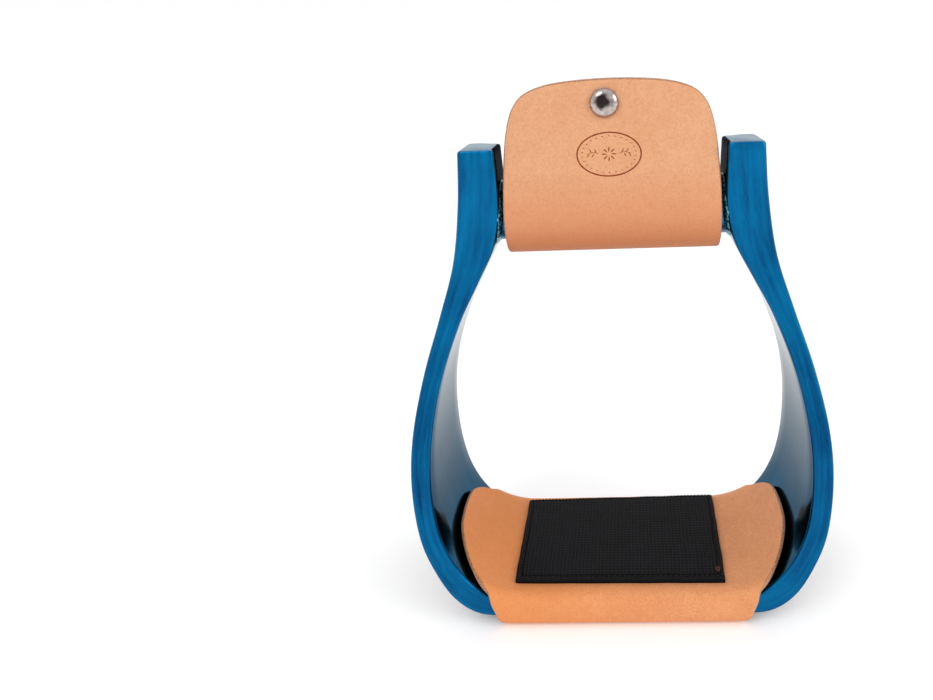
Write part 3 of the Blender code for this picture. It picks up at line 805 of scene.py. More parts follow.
LEAVES = [
    # the spiral at the top
    ([(6.6, 12.5), (5.3, 8.2), (2, 5.7), (-1.5, 5.6), (-4.2, 8), (-4.4, 12), (-3.8, 14.5)], 1.6),
    ([(6.2, 15.5), (4.5, 11.5), (1.5, 9.4), (-2, 9.6)], 1.0),
    ([(5.2, 20), (4.8, 15.5), (2.5, 12.8), (0, 12.5), (-2.5, 15), (-3.2, 16.5)], 1.6, 0.4),
    ([(2, 24.5), (3, 20), (1.8, 17.5), (-0.8, 15.5)], 0.9),
    ([(0.3, 28), (0.5, 23.5), (-1, 19.5), (-4.5, 16), (-6.3, 15)], 2.0, 0.3),
    ([(-2, 29.5), (-2.2, 24.5), (-4, 21), (-6.8, 20)], 1.2),
    ([(-5.3, 33), (-2.3, 26), (-4, 21.5)], 0.9),
    ([(-7.5, 37.5), (-6.2, 31), (-5.2, 26.5), (-6.5, 23.5)], 1.9),
    # right of the stem
    ([(6.9, 22.5), (6.6, 28), (6.2, 33), (6.5, 36.8)], 2.2),
    ([(4.8, 25.5), (2.6, 30), (2.4, 35), (4.2, 39.5)], 1.0),
    ([(1.3, 29), (-0.3, 34), (0.5, 38.5), (3.5, 42), (7.5, 43.5)], 1.7, 0.8),
    ([(-0.8, 31), (-2.5, 37), (-1.8, 42), (0.5, 44.5)], 1.0),
    ([(-4.3, 38), (-5, 42), (-3.8, 46), (-0.5, 48), (2.5, 46.5)], 1.7, 0.8),
    ([(-5.8, 40), (-6.3, 45), (-4, 49.5), (0, 51), (3.5, 51)], 1.0),
    ([(-5.2, 50), (-2.5, 53.6), (2, 54.3), (5, 52.5), (6, 48.5), (4, 45.5)], 2.0),
    ([(4.5, 39.3), (7.5, 41.5), (8.5, 45)], 1.3),
    # the second spiral
    ([(9.3, 64.3), (6, 61), (2.5, 60.8), (0.8, 63.5), (0.8, 66.5)], 1.6),
    ([(0.5, 59.8), (-4, 60.8), (-6.3, 64), (-5.5, 67), (-2.5, 68.6), (0, 67.8)], 1.8, 0.8),
    ([(0, 60), (-2.5, 62.5), (-3.2, 66.5)], 0.8),
    ([(9.8, 70), (7.5, 66), (4.5, 64.6), (1.8, 65)], 0.9),
    ([(8.5, 78), (9.3, 73), (7.5, 68.5), (4.5, 67), (1.5, 68.5), (0.3, 70)], 1.6, 0.4),
    ([(5.5, 80), (7, 75.5), (6, 71.5), (3.5, 69.3)], 1.0),
    ([(1.5, 82.5), (3, 77.5), (2.5, 73.5), (0.5, 71.8)], 2.2, 0.3),
    # the small spiral on the left
    ([(-1, 76.5), (-3.5, 73.3), (-7, 72.3), (-9.8, 74.5), (-10.3, 77.5)], 1.2),
    ([(-0.8, 80.5), (-3, 76.8), (-6, 75.2), (-9, 75.2)], 0.8),
    ([(-3, 85), (-3.2, 80.5), (-6.5, 78.5), (-9.5, 79.5), (-11, 78)], 1.6, 0.5),
    ([(-6.5, 87), (-5.2, 83), (-6.8, 80.3)], 1.1),
    ([(-9.5, 89.5), (-8.8, 85), (-10.5, 82), (-13.5, 79.5)], 1.6),
    ([(-12, 91), (-11, 86.5), (-12, 84)], 1.0),
    ([(-17.5, 95.5), (-15.5, 90), (-14, 85.5)], 2.2, 0.6),
    # the fan on the right
    ([(4, 83), (9, 79.7), (13, 79), (15, 82), (16.5, 87.5)], 1.4),
    ([(4, 83.5), (9, 81.5), (13.5, 81.5)], 0.8),
    ([(5, 84), (10, 83), (14, 85.5), (15.5, 90), (20, 94)], 1.8, 0.6),
    ([(3, 85.5), (8, 85), (12, 88), (13.5, 91)], 1.2),
    ([(1, 87), (5, 86.5), (8, 88.5), (6, 92.5), (3.5, 96.5)], 2.0),
    ([(-1, 88.5), (3, 88.5), (6, 91)], 0.9),
    ([(-5, 89), (0, 90.5), (3, 93)], 1.0),
    # the dark-shaded pair between the fan and the stem
    ([(-2.5, 89.8), (3, 91.2), (6.5, 94), (5.5, 97.5)], 1.2, 0.9),
    ([(-9, 92.8), (-4, 92.2), (0, 94.2), (2, 97.8)], 1.9, 0.9),
    ([(-11, 94.2), (-6, 94.4), (-3, 96.8)], 1.0, 0.3),
    # between the lower scrolls
    ([(0, 150), (-1.5, 144), (-1.5, 138.5), (1, 134), (5, 132)], 1.5),
    ([(0, 150.5), (1.5, 144), (2.5, 140)], 2.2, 0.4),
]
PAIRED_LEAVES = [
    ([(0.8, 102.5), (4, 98.5), (8, 97), (11.5, 98.8), (14, 102), (13, 105)], 1.5),
    ([(1, 103), (5, 100.5), (9, 100), (11.5, 102)], 1.0),
    ([(2, 101.2), (6, 97.4), (11, 96.2), (15.5, 98.6), (17.5, 102.5), (15, 105)], 0.8, 0.2),
    ([(14, 104.5), (17, 106.5), (19.5, 103.5)], 1.5, 0.5),
    ([(12.5, 107.2), (16, 108.2), (19, 106)], 0.9),
    ([(2.5, 105), (6, 105.2), (9, 108.5)], 1.2, 0.8),
    ([(13.5, 97), (17, 98), (19.3, 101)], 1.0),
    ([(1, 103.5), (4, 103), (7.5, 104), (9.5, 107)], 1.4),
    ([(22.5, 107), (21, 112), (17, 115.3), (13.5, 114)], 1.5),
    ([(24, 111), (22, 116.5), (18, 119.5), (14.5, 118.5), (14.5, 114)], 1.5, 0.7),
    ([(23.8, 109), (21.5, 114.6), (18, 117.4), (15.6, 116.4)], 0.8),
    ([(25.4, 121), (23, 126), (18.5, 128), (14, 128.2)], 0.8),
    ([(24.5, 114), (23, 119.5), (19, 122.8), (15.5, 122)], 1.7),
    ([(24.5, 118), (22, 123.5), (17, 126), (12, 126.8)], 1.2),
    ([(4, 146), (6, 141), (9.5, 137), (13, 135), (16.5, 137.5), (15.5, 142.5)], 1.2),
    ([(5.5, 144.2), (8.5, 139), (12.2, 137.2), (14.4, 139.6)], 0.8),
    ([(3.2, 147), (4.6, 142.5), (8, 137.5), (11, 133.8), (15.5, 133), (18.6, 136), (17.6, 140.2)], 0.8),
    ([(24.8, 136.5), (23.6, 140.8), (19.5, 142), (16.5, 141)], 0.8, 0.2),
    ([(4, 149.5), (9, 146.4), (15, 145), (20.5, 145.6), (24.5, 149)], 0.8),
    ([(4, 152.2), (10, 150), (17, 149.2), (23, 152.4), (25.2, 156.5)], 0.8),
    ([(3.6, 153.6), (9, 153), (15, 153.4), (20.6, 157), (24, 161)], 0.8),
    ([(8, 134.5), (12, 131.5), (17, 131), (21, 133), (20.5, 137.5)], 1.4, 0.4),
    ([(5, 142), (9, 140), (12.5, 140), (15, 143)], 1.0),
    ([(22.5, 131), (24.5, 135), (22, 139), (18, 139.5)], 1.3),
    ([(3, 148), (6, 144), (10, 143), (13, 145)], 1.2),
    ([(5, 151), (10, 148.5), (16, 147), (22, 148), (25, 152)], 1.5, 0.4),
    ([(4, 153), (10, 151.5), (17, 151), (21, 154)], 1.2),
    ([(3, 154.5), (9, 154.5), (16, 156), (22, 160), (25, 163)], 1.8),
    ([(2.5, 156), (7, 158), (12, 161), (16, 164)], 1.4, 0.5),
    ([(1.5, 157), (4, 160), (6, 163), (7, 165)], 1.3),
]
# Corner cuts: (across, down) of the tip and of the blunt end
WEDGES = [
    ((-4.6, 3.6), (-7.3, 5.2)), ((5, 3.4), (7.4, 5)), ((-5.8, 55.4), (-9.6, 53.4)),
    ((6.2, 56), (9.8, 54.2)), ((-6.4, 57.4), (-10.6, 58.6)), ((6.2, 58.2), (11, 60.2)),
    ((-8.2, 69.8), (-12.2, 67.6)), ((11.2, 79), (14.6, 76.4)), ((-21.5, 127.6), (-25.2, 124.6)),
    ((21.5, 127.6), (25.2, 124.6)), ((-4.6, 135.6), (-5.6, 131.4)), ((4.6, 135.6), (5.6, 131.4)),
    ((5.5, 98), (9, 94.4)), ((0, 100.5), (0, 95.5)),
]
ROSETTE_CENTRE, ROSETTE_RADIUS, ROSETTE_PETALS = (0.5, 118.6), 13.4, 11
ROSETTE_TWIST, RING_RADIUS = 28, 1.9
LEAF_BOLDNESS = 2.2
BORDER_START, BORDER_END, BORDER_INSET = 1.6, 166.0, 1.9


def cut_rosette(engraver):
    """Petals that swirl from a small ring, with thin cuts between them."""
    centre = np.array(ROSETTE_CENTRE)

    def ray(radius, turn):
        angle = math.radians(turn + ROSETTE_TWIST * (radius / ROSETTE_RADIUS) ** 1.3)
        return centre + radius * np.array([math.sin(angle), -math.cos(angle)])

    for petal in range(ROSETTE_PETALS):
        turn = 360 * petal / ROSETTE_PETALS
        shade = 0.9 if petal % 4 == 1 else 0.2
        hook = ((2.2, 0), (6, -1), (10, -1), (12.6, 3), (ROSETTE_RADIUS, 10), (12.4, 18), (11.2, 22))
        engraver.leaf([ray(radius, turn + more) for radius, more in hook], 1.2, shade)
        engraver.leaf([ray(radius, turn + more) for radius, more in ((2.8, 13), (6.5, 12), (10.6, 12))], 0.7)
    ring = [centre + point for point in circle(24, RING_RADIUS)]
    ring.append(ring[0])
    engraver.stroke(ring, [1.0] * len(ring), 0.2)


def engrave(side, name):
    """All the cuts on the outer face of one arm."""
    engraver = Engraver(side)
    for edge_side in (-1, 1):
        def border(down, swing):
            return edge_side * (face_half_width(down) - BORDER_INSET + swing), down

        engraver.zigzag(BORDER_START, BORDER_END, border)
    top, low = (face_half_width(down) - 2.6 for down in (1.0, BORDER_END))
    engraver.zigzag(-top, top, lambda across, swing: (across, 1.25 + swing * 0.8))
    engraver.zigzag(-low, low, lambda across, swing: (across, BORDER_END + 0.6 + swing))
    for points in ROPES:
        engraver.rope(points)
    for points, *cut in LEAVES:
        engraver.leaf(points, *cut)
    for sign in (-1, 1):
        for points in PAIRED_ROPES:
            engraver.rope([(sign * across, down) for across, down in points])
        for points, *cut in PAIRED_LEAVES:
            engraver.leaf([(sign * across, down) for across, down in points], *cut)
    cut_rosette(engraver)
    for number, (tip, blunt) in enumerate(WEDGES):
        # every third wedge carries heavy painted shade, the rest light
        engraver.wedge(tip, blunt, 0.8 if number % 3 == 1 else 0.1)
    piece = engraver.build.piece(name, BRIGHT_CUT, 25)
    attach(piece, "stirrup")


# ---------------------------------------------------------------- leather

def outward_normals(line, reach):
    """Normals to the right of a closed line, each from the points at a reach before and after it."""
    runs = np.roll(line, -reach, 0) - np.roll(line, reach, 0)
    runs /= np.linalg.norm(runs, axis=1)[:, None]
    return np.stack([runs[:, 1], -runs[:, 0]], axis=1)


def cut_sheet(outline, lines):
    """A flat sheet divided along a grid, as its points, its faces and the points of its rim in order."""
    work = bmesh.new()
    work.faces.new([work.verts.new((u, s, 0)) for u, s in outline])
    for normal, values in zip((Vector((1, 0, 0)), Vector((0, 1, 0))), lines):
        for value in values:
            geometry = list(work.verts) + list(work.edges) + list(work.faces)
            bmesh.ops.bisect_plane(work, geom=geometry, plane_co=normal * value, plane_no=normal, dist=1e-4)
    work.verts.ensure_lookup_table()
    work.verts.index_update()
    flat = [(v.co.x, v.co.y) for v in work.verts]
    cells = [tuple(v.index for v in face.verts) for face in work.faces]
    rim_next = {}
    for edge in work.edges:
        if edge.is_boundary:
            loop = edge.link_loops[0]
            rim_next[loop.vert.index] = loop.link_loop_next.vert.index
    work.free()
    start = next(iter(rim_next))
    rim = [start]
    while rim_next[rim[-1]] != start:
        rim.append(rim_next[rim[-1]])
    return flat, cells, rim


def leather_sheet(name, outline, place, lines, thickness, round_edge, dent, face_look):
    """A sheet of leather cut to a flat outline and bent by place(u, s, height over the middle surface).

    The outline runs with the sheet on its left. lines gives the u and the s values of the grid that the
    sheet is divided along, thickness(u, s) how thick it is over and under its middle surface, and
    dent(u, s) how far its top face lies below a plain one.
    """
    given = np.array(outline, float)
    flat, cells, rim = cut_sheet(given - outward_normals(given, 1) * round_edge, lines)
    edge_line = np.array([flat[i] for i in rim])
    outward = outward_normals(edge_line, 2)

    count = len(flat)
    verts = [place(u, s, thickness(u, s)[0] - dent(u, s)) for u, s in flat]
    verts += [place(u, s, -thickness(u, s)[1]) for u, s in flat]
    uv = flat + flat
    faces = cells + [tuple(count + i for i in reversed(cell)) for cell in cells]
    look_of = [0] * len(faces)
    rows = [rim]
    for angle, over in ((28, True), (58, True), (88, True), (88, False), (58, False), (28, False)):
        out, level = math.sin(math.radians(angle)), math.cos(math.radians(angle))
        row = []
        for (u, s), (du, ds) in zip(edge_line, outward):
            top, bottom = thickness(u, s)
            r = min(round_edge, (top + bottom) * 0.45)
            height = top - r * (1 - level) if over else -bottom + r * (1 - level)
            reach = out * r + 0.05 * noise.noise(Vector((u, s, height)) * 1.7)
            row.append(len(verts))
            verts.append(place(u + du * reach, s + ds * reach, height))
            uv.append((u, s))
        rows.append(row)
    rows.append([count + i for i in rim])
    for number, (here, after) in enumerate(zip(rows, rows[1:])):
        for k in range(len(rim)):
            j = (k + 1) % len(rim)
            faces.append((here[k], here[j], after[j], after[k]))
            look_of.append(0 if number in (0, len(rows) - 2) else 1)
    return new_piece(name, verts, faces, [face_look, CUT_EDGE], look_of, uv, None, 50)


def grid(low, high, step):
    """Evenly spaced values between two ends, without the ends."""
    count = int(round((high - low) / step))
    return [low + (high - low) * i / count for i in range(1, count)]


def waviness(u, s, seed):
    """Slow unevenness of the leather's face."""
    slow = noise.noise(Vector((u * 0.06, s * 0.06, seed)))
    return 0.10 * slow + 0.035 * noise.noise(Vector((u * 0.4, s * 0.4, seed)))


def sleeve_line():
    """The sleeve's middle line, as (y, z): down the back flap, round the bar and up the front flap."""
    rise = FLAP_PINCH - BAR_Z
    tangent = math.atan2(rise, FLAP_MIDLINE)
    tangent -= math.acos(SLEEVE_LOOP_RADIUS / math.hypot(rise, FLAP_MIDLINE))
    flap = [(FLAP_MIDLINE, FRAME_LOW + FLAP_EDGE[0][1]), (FLAP_MIDLINE, FLAP_PINCH)]
    loop = []
    for step in range(61):
        angle = tangent - (math.pi + 2 * tangent) * step / 60
        loop.append((SLEEVE_LOOP_RADIUS * math.cos(angle), BAR_Z + SLEEVE_LOOP_RADIUS * math.sin(angle)))
    path = Path(flap + loop + [(-y, z) for y, z in reversed(flap)])
    count = int(path.length / 0.5)
    line = np.array([path.at(path.length * i / count) for i in range(count + 1)])
    for _ in range(30):
        line[1:-1] = (line[:-2] + 2 * line[1:-1] + line[2:]) / 4
    return Path(line)


SLEEVE = sleeve_line()


def sleeve_distance(height, front):
    """Distance along the sleeve line to a height on its back or front flap."""
    half = len(SLEEVE.line) // 2 - 20    # the flap, without the bottom of the loop
    down = np.interp(-height, -SLEEVE.line[:half, 1], SLEEVE.marks[:half])
    return SLEEVE.length - down if front else down


def on_sleeve(x, s, height):
    """A point of the sleeve's leather. Its outer face has positive heights."""
    y, z = SLEEVE.at(s)
    side_y, side_z = SLEEVE.left(min(max(s, 0.0), SLEEVE.length))
    beyond = max(-s, s - SLEEVE.length, 0.0)
    return (x, y + side_y * height, z + side_z * height + beyond)


STAMP_PLACE = (STAMP_CENTRE[0], sleeve_distance(STAMP_CENTRE[1], True))


def stamp_oval(steps, scale, offset=0.0):
    """Points round an oval inside the stamp, as (x, distance along the sleeve)."""
    angles = [2 * math.pi * (k + offset) / steps for k in range(steps)]
    half = np.array(STAMP_HALF_SIZE) * scale
    return [STAMP_PLACE + half * (math.cos(a), math.sin(a)) for a in angles]


STAMP_GROOVE, STAMP_GROOVE_WIDTH, STAMP_FIELD = 0.13, 0.055, 0.05
RIVET_SEAT, RIVET_SEAT_RADIUS = 0.35, 5.2


def flap_dent(u, s):
    """How deep the sleeve's face lies: slow waves, the stamp's groove and field, and the rivet's seats."""
    depth = 0.35 * waviness(u, s, 3.0)
    ring = math.hypot((u - STAMP_PLACE[0]) / STAMP_HALF_SIZE[0], (s - STAMP_PLACE[1]) / STAMP_HALF_SIZE[1])
    depth += STAMP_GROOVE * math.exp(-((ring - 1) / STAMP_GROOVE_WIDTH) ** 2)
    depth += STAMP_FIELD * max(0.0, min(1.0, (0.97 - ring) * 12))
    for front in (False, True):
        away = math.hypot(u - RIVET.x, s - sleeve_distance(RIVET.z, front))
        depth += RIVET_SEAT * math.exp(-(away / RIVET_SEAT_RADIUS) ** 4)
    return depth


def make_neck_leather():
    side = [(x, sleeve_distance(FRAME_LOW + h, False)) for x, h in FLAP_EDGE[1:]]
    back_top = smooth([(-x, s) for x, s in reversed(side)] + [(0.0, 0.0)] + side, 6)
    front_top = np.array([0.0, SLEEVE.length]) - back_top
    spans = [(-35, 35, STAMP_PLACE[0], 11.5), (0.6, SLEEVE.length - 0.6, STAMP_PLACE[1], 8.2)]
    lines = []
    for low, high, middle, reach in spans:
        lines.append(sorted(set(grid(low, high, 1.0)) | set(grid(middle - reach, middle + reach, 0.3))))
    sleeve = leather_sheet(
        "leather_sleeve", np.vstack([back_top, front_top]), on_sleeve, lines,
        lambda u, s: (NECK_LEATHER / 2, NECK_LEATHER / 2), 0.75, flap_dent, NECK_TAN,
    )
    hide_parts("neck_leather")
    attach(sleeve, "neck_sleeve")


def make_stamp():
    """A plain burnt-in maker's oval: a ring and a small floret between two sprigs, with no letters."""
    build = Build()
    centre = np.array(STAMP_PLACE)

    def mark(line, widths):
        """A shallow ridge along a line of the flap."""
        line = np.array(line, float)
        verts = []
        for i, point in enumerate(line):
            run = line[min(i + 1, len(line) - 1)] - line[max(i - 1, 0)]
            run /= np.linalg.norm(run)
            aside = np.array([-run[1], run[0]]) * max(widths[i], 0.04) / 2
            for offset, lift in ((-1, -0.03), (0, 0.05), (1, -0.03)):
                place = point + aside * offset
                verts.append(on_sleeve(*place, NECK_LEATHER / 2 - flap_dent(*place) + lift))
        faces = ring_faces(len(line), 3)
        faces += [(0, 1, 2), (len(verts) - 1, len(verts) - 2, len(verts) - 3)]
        build.add(verts, faces)

    ring = stamp_oval(120, 1.0)
    ring.append(ring[0])
    mark(ring, [0.72 + 0.12 * noise.noise(Vector((k * 0.3, 0, 0))) for k in range(len(ring))])
    for out in np.array(circle(8)):
        mark([centre + out * r for r in (0.7, 1.3, 2.0, 2.5)], [0.1, 0.6, 0.7, 0.1])
    for sign in (-1, 1):
        stem = smooth([centre + (sign * x, y) for x, y in ((3.4, 0.2), (5.2, 0.7), (7.2, 0.1))], 6)
        mark(stem, [0.26] * len(stem))
        for place, lean in ((4.0, 1), (4.8, -1), (5.6, 1), (6.4, -1)):
            root = centre + (sign * place, 0.4)
            tip = root + (sign * 0.9, lean * 1.5)
            mark([root, (root + tip) / 2, tip], [0.12, 0.55, 0.1])
    for dot in stamp_oval(26, 0.84, 0.5):
        mark([dot - (0.3, 0), dot, dot + (0.3, 0)], [0.2, 0.5, 0.2])
    stamp = build.piece("oval_stamp", BURNT, 30)
    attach(stamp, "neck_sleeve")


def cover_half(fold_radii):
    """Half of the cover's middle line across the plate: (distance from the centre, height)."""
    high_r, low_r = fold_radii
    line = [(0.0, COVER_TOP)]
    turns = [(1 - math.sin(math.pi / 32 * i), 1 - math.cos(math.pi / 32 * i)) for i in range(17)]
    line += [(COVER_EDGE_Y - high_r * a, COVER_TOP - high_r * b) for a, b in turns]
    line += [(COVER_EDGE_Y - low_r * b, COVER_LOW + low_r * a) for a, b in turns]
    line.append((SEAM_HALF_GAP, COVER_LOW))
    path = Path(line)
    count = int(path.length / 0.4)
    return Path([path.at(path.length * i / count) for i in range(count + 1)])


COVER_FRONT, COVER_BACK = cover_half(FRONT_FOLD_RADII), cover_half(BACK_FOLD_RADII)
RISE = Path(smooth(COVER_RISE, 8))


def rise_distance(x):
    """How far along the plate and its wing the cover is at a distance x from the middle."""
    return float(np.interp(x, RISE.line[:, 0], RISE.marks))


def on_cover(u, s, height):
    """A point of the cover. u runs along the plate and up the wings, s from the centre to a seam edge."""
    distance = min(abs(u), RISE.length)
    over = abs(u) - distance
    x, rise = RISE.at(distance)
    lean_x, lean_z = RISE.left(distance)
    run_x, run_z = RISE.along(distance)
    half = COVER_FRONT if s < 0 else COVER_BACK
    deep, z = half.at(abs(s))
    out_y, out_z = half.left(min(abs(s), half.length))
    share = (z - COVER_LOW) / (COVER_TOP - COVER_LOW)
    z += (rise - COVER_TOP + run_z * over) * share + FRAME_LOW
    normal = Vector((lean_x * out_z, out_y, lean_z * out_z)).normalized()
    x, y, z = Vector((x + run_x * over, deep, z)) + normal * height
    return (-x if u < 0 else x, -y if s < 0 else y, z)


SKIVE_START, SKIVE_RUN, SKIVE_DEPTH = 46.0, 7.0, 1.25
PAD_PRESS = 0.12


def make_tread_leather():
    def quarter(half, sign):
        """The right half of the cut's outline on one side, from its middle to the seam."""
        marks, heights = half.marks[2:], half.line[2:, 1]
        points = [(rise_distance(x), y) for x, y in WING_EDGE]
        for x, drop in STRAP_EDGE:
            points.append((rise_distance(x), float(np.interp(drop - COVER_TOP, -heights, marks))))
        points.append((rise_distance(40.0), half.length - 12.0))
        line = smooth([(points[1][0], -points[1][1])] + points, 6)[6:]
        line = [(u, max(across, 0.0)) for u, across in line]
        line += [(rise_distance(40.0), half.length - 0.4), (rise_distance(39.6), half.length)]
        return [(u, sign * across) for u, across in line]

    back_right, front_right = quarter(COVER_BACK, 1), quarter(COVER_FRONT, -1)
    outline = back_right + [(-u, across) for u, across in reversed(back_right)]
    outline += [(-u, across) for u, across in front_right[1:]] + front_right[:0:-1]
    outline = [p for p, q in zip(outline, outline[1:] + outline[:1]) if math.dist(p, q) > 0.05]

    def thickness(u, s):
        skive = max(0.0, min(1.0, (abs(u) - rise_distance(SKIVE_START)) / SKIVE_RUN))
        return TREAD_LEATHER / 2, TREAD_LEATHER / 2 - SKIVE_DEPTH * skive

    def dent(u, s):
        pressed = PAD_PRESS if abs(u) < PAD_HALF[0] and abs(s) < PAD_HALF[1] else 0.0
        return 0.4 * waviness(u, s, 8.0) + pressed

    reach = rise_distance(WING_EDGE[0][0])
    lines = [grid(-reach, reach, 1.0), grid(-COVER_FRONT.length, COVER_BACK.length, 0.8)]
    cover = leather_sheet("leather_tread_cover", outline, on_cover, lines, thickness, 0.6, dent, TREAD_TAN)
    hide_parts("tread_leather")
    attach(cover, "stirrup")


LACE_STITCHES, LACE_REACH, LACE_RADIUS = 34, 35.5, 0.45


def make_lacing():
    """Waxed thread that zigzags between the cover's two edges under the plate."""
    build = Build()
    swing, level = SEAM_HALF_GAP - 0.55, TREAD_LEATHER / 2
    points = []
    for k in range(LACE_STITCHES * 8 + 1):
        t = k / 8
        across = swing * max(-1.0, min(1.0, 1.35 * math.sin(math.pi * t)))
        depth = level + 0.22 * math.cos(math.pi * t)
        points.append((LACE_REACH * (2 * t / LACE_STITCHES - 1), across, depth))
    tube(build, points, LACE_RADIUS, 10)
    lace = build.piece("underside_lacing", WAXED_THREAD)
    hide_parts("underside_stitch")
    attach(lace, "stirrup")


# ---------------------------------------------------------------- grip patch

PAD_BASE = FRAME_LOW + COVER_TOP + TREAD_LEATHER / 2 - 0.06
RIB_PITCH, PICK_PITCH = 1.35, 1.7
WEAVE_LOW, WEAVE_HEIGHT = 0.04, 0.36
SEAM_PULL, SEAM_WIDTH = 0.60, 0.5
ROUND_HEIGHT, ROUND_WIDTH = 0.75, 0.9
STITCH_PITCH, STITCH_RADIUS = 1.75, 0.26


def on_pad(x, y):
    """The patch was cut a little out of square: where a place on the true rectangle really lies."""
    a, b = (x / PAD_HALF[0] + 1) / 2, (y / PAD_HALF[1] + 1) / 2
    shares = {(-1, -1): (1 - a) * (1 - b), (1, -1): a * (1 - b), (1, 1): a * b, (-1, 1): (1 - a) * b}
    return tuple(sum(shares[key] * PAD_CORNERS[key][axis] for key in shares) for axis in (0, 1))


def seam_depth(x, y):
    """How deep the stitching pulls the webbing down at a place."""
    inside = min(PAD_HALF[0] - abs(x), PAD_HALF[1] - abs(y))
    return SEAM_PULL * math.exp(-((inside - PAD_SEAM_INSET) / SEAM_WIDTH) ** 2)


def make_grip_patch():
    """Woven webbing: ribs along the foot's direction, crossed by picks, sewn down along its four sides."""
    step_x, step_y = RIB_PITCH / 5, PICK_PITCH / 6
    count_x = int(2 * PAD_HALF[0] / step_x)
    count_y = int(2 * PAD_HALF[1] / step_y)
    thick = PAD_HIGH - PAD_BASE - 0.25
    verts, uv, tones = [], [], []

    def wobble(value, seed):
        """How far a cut edge wanders."""
        return 0.22 * noise.noise(Vector((value * 0.11, seed, 0.5)))

    for j in range(count_y + 1):
        for i in range(count_x + 1):
            x = PAD_HALF[0] * (2 * i / count_x - 1)
            y = PAD_HALF[1] * (2 * j / count_y - 1)
            rib = 0.5 + 0.5 * math.cos(2 * math.pi * x / RIB_PITCH)
            pick = 0.5 + 0.5 * math.cos(2 * math.pi * y / PICK_PITCH)
            weave = WEAVE_LOW + WEAVE_HEIGHT * rib ** 1.5 * (0.45 + 0.55 * pick)
            edge = min(PAD_HALF[0] - abs(x), PAD_HALF[1] - abs(y))
            rounding = ROUND_HEIGHT * (1 - min(1.0, edge / ROUND_WIDTH)) ** 2
            z = PAD_BASE + thick + weave - seam_depth(x, y) - rounding
            z += 0.06 * noise.noise(Vector((x * 0.15, y * 0.15, 1.0)))
            if edge < PAD_SEAM_INSET:
                z -= 0.08
            place_x, place_y = on_pad(x, y)
            verts.append((place_x + wobble(y, 2.0 + (x > 0)), place_y + wobble(x, 5.0 + (y > 0)), z))
            uv.append((x, y))
            # tone is where painted highlight goes: the crowns of the ribs, and the picks near the cut edge
            tone = 0.0
            if edge > PAD_SEAM_INSET + 0.7:
                tone = rib ** 2 * (0.35 + 0.65 * pick ** 2)
            elif edge < PAD_SEAM_INSET - 0.6:
                tone = 0.5 * pick
            tones.append(tone)
    faces = []
    wide = count_x + 1
    for j in range(count_y):
        for i in range(count_x):
            a = j * wide + i
            faces.append((a, a + 1, a + wide + 1, a + wide))
    rim = list(range(wide)) + [j * wide + count_x for j in range(1, count_y + 1)]
    rim += [count_y * wide + i for i in range(count_x - 1, -1, -1)]
    rim += [j * wide for j in range(count_y - 1, 0, -1)]
    low = len(verts)
    verts += [(*verts[i][:2], PAD_BASE) for i in rim]
    uv += [vert[:2] for vert in verts[low:]]
    tones += [0.0] * len(rim)
    for k in range(len(rim)):
        j = (k + 1) % len(rim)
        faces.append((rim[k], low + k, low + j, rim[j]))
    faces.append(tuple(low + k for k in reversed(range(len(rim)))))
    patch = new_piece("grip_webbing", verts, faces, [WEBBING], None, uv, tones, 75)
    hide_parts("grip_pad")
    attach(patch, "stirrup")


def make_grip_stitches():
    """The patch's stitches: short slanting dashes of thread in the groove, and the knot that ends them."""
    rng = random.Random(3)
    build = Build()
    half_x, half_y = PAD_HALF[0] - PAD_SEAM_INSET, PAD_HALF[1] - PAD_SEAM_INSET
    surface = PAD_HIGH - 0.46
    sides = [(half_x, -half_y, True), (half_x, half_y, True)]
    sides += [(half_y, -half_x, False), (half_y, half_x, False)]
    for length, fixed, along_x in sides:
        count = int(2 * length / STITCH_PITCH)
        for k in range(count):
            centre = -length + 2 * length * (k + 0.5) / count
            reach = 0.40 * STITCH_PITCH * rng.uniform(0.92, 1.06)
            slant = 0.20 * rng.uniform(0.6, 1.3)
            points = []
            for t in (-1.0, -0.75, -0.4, 0.0, 0.4, 0.75, 1.0):
                run, aside = centre + t * reach, fixed + t * slant
                z = surface - 0.30 * abs(t) ** 3
                points.append((*(on_pad(run, aside) if along_x else on_pad(aside, run)), z))
            tube(build, points, STITCH_RADIUS, 8, 0.3)
    stitches = build.piece("grip_stitches", BLACK_THREAD)
    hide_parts("grip_thread")
    knot_build = Build()
    knot = Vector((*on_pad(half_x - 0.5, -half_y + 3.2), PAD_HIGH - 0.1))
    loop = []
    for k in range(30):
        angle = 3.4 * math.pi * k / 29
        lift = 0.3 * math.sin(2.3 * angle) + 0.2
        loop.append(knot + Vector((0.55 * math.cos(angle), 0.95 * math.sin(angle), lift)))
    tube(knot_build, loop, STITCH_RADIUS, 8)
    knot_piece = knot_build.piece("grip_thread_knot", KNOT_THREAD)
    for piece in (stitches, knot_piece):
        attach(piece, "stirrup")


# ---------------------------------------------------------------- rivet

DOME_RADIUS, DOME_HEIGHT, DOME_LIFT, DOME_STEPS = 4.7, 1.9, 0.55, 12


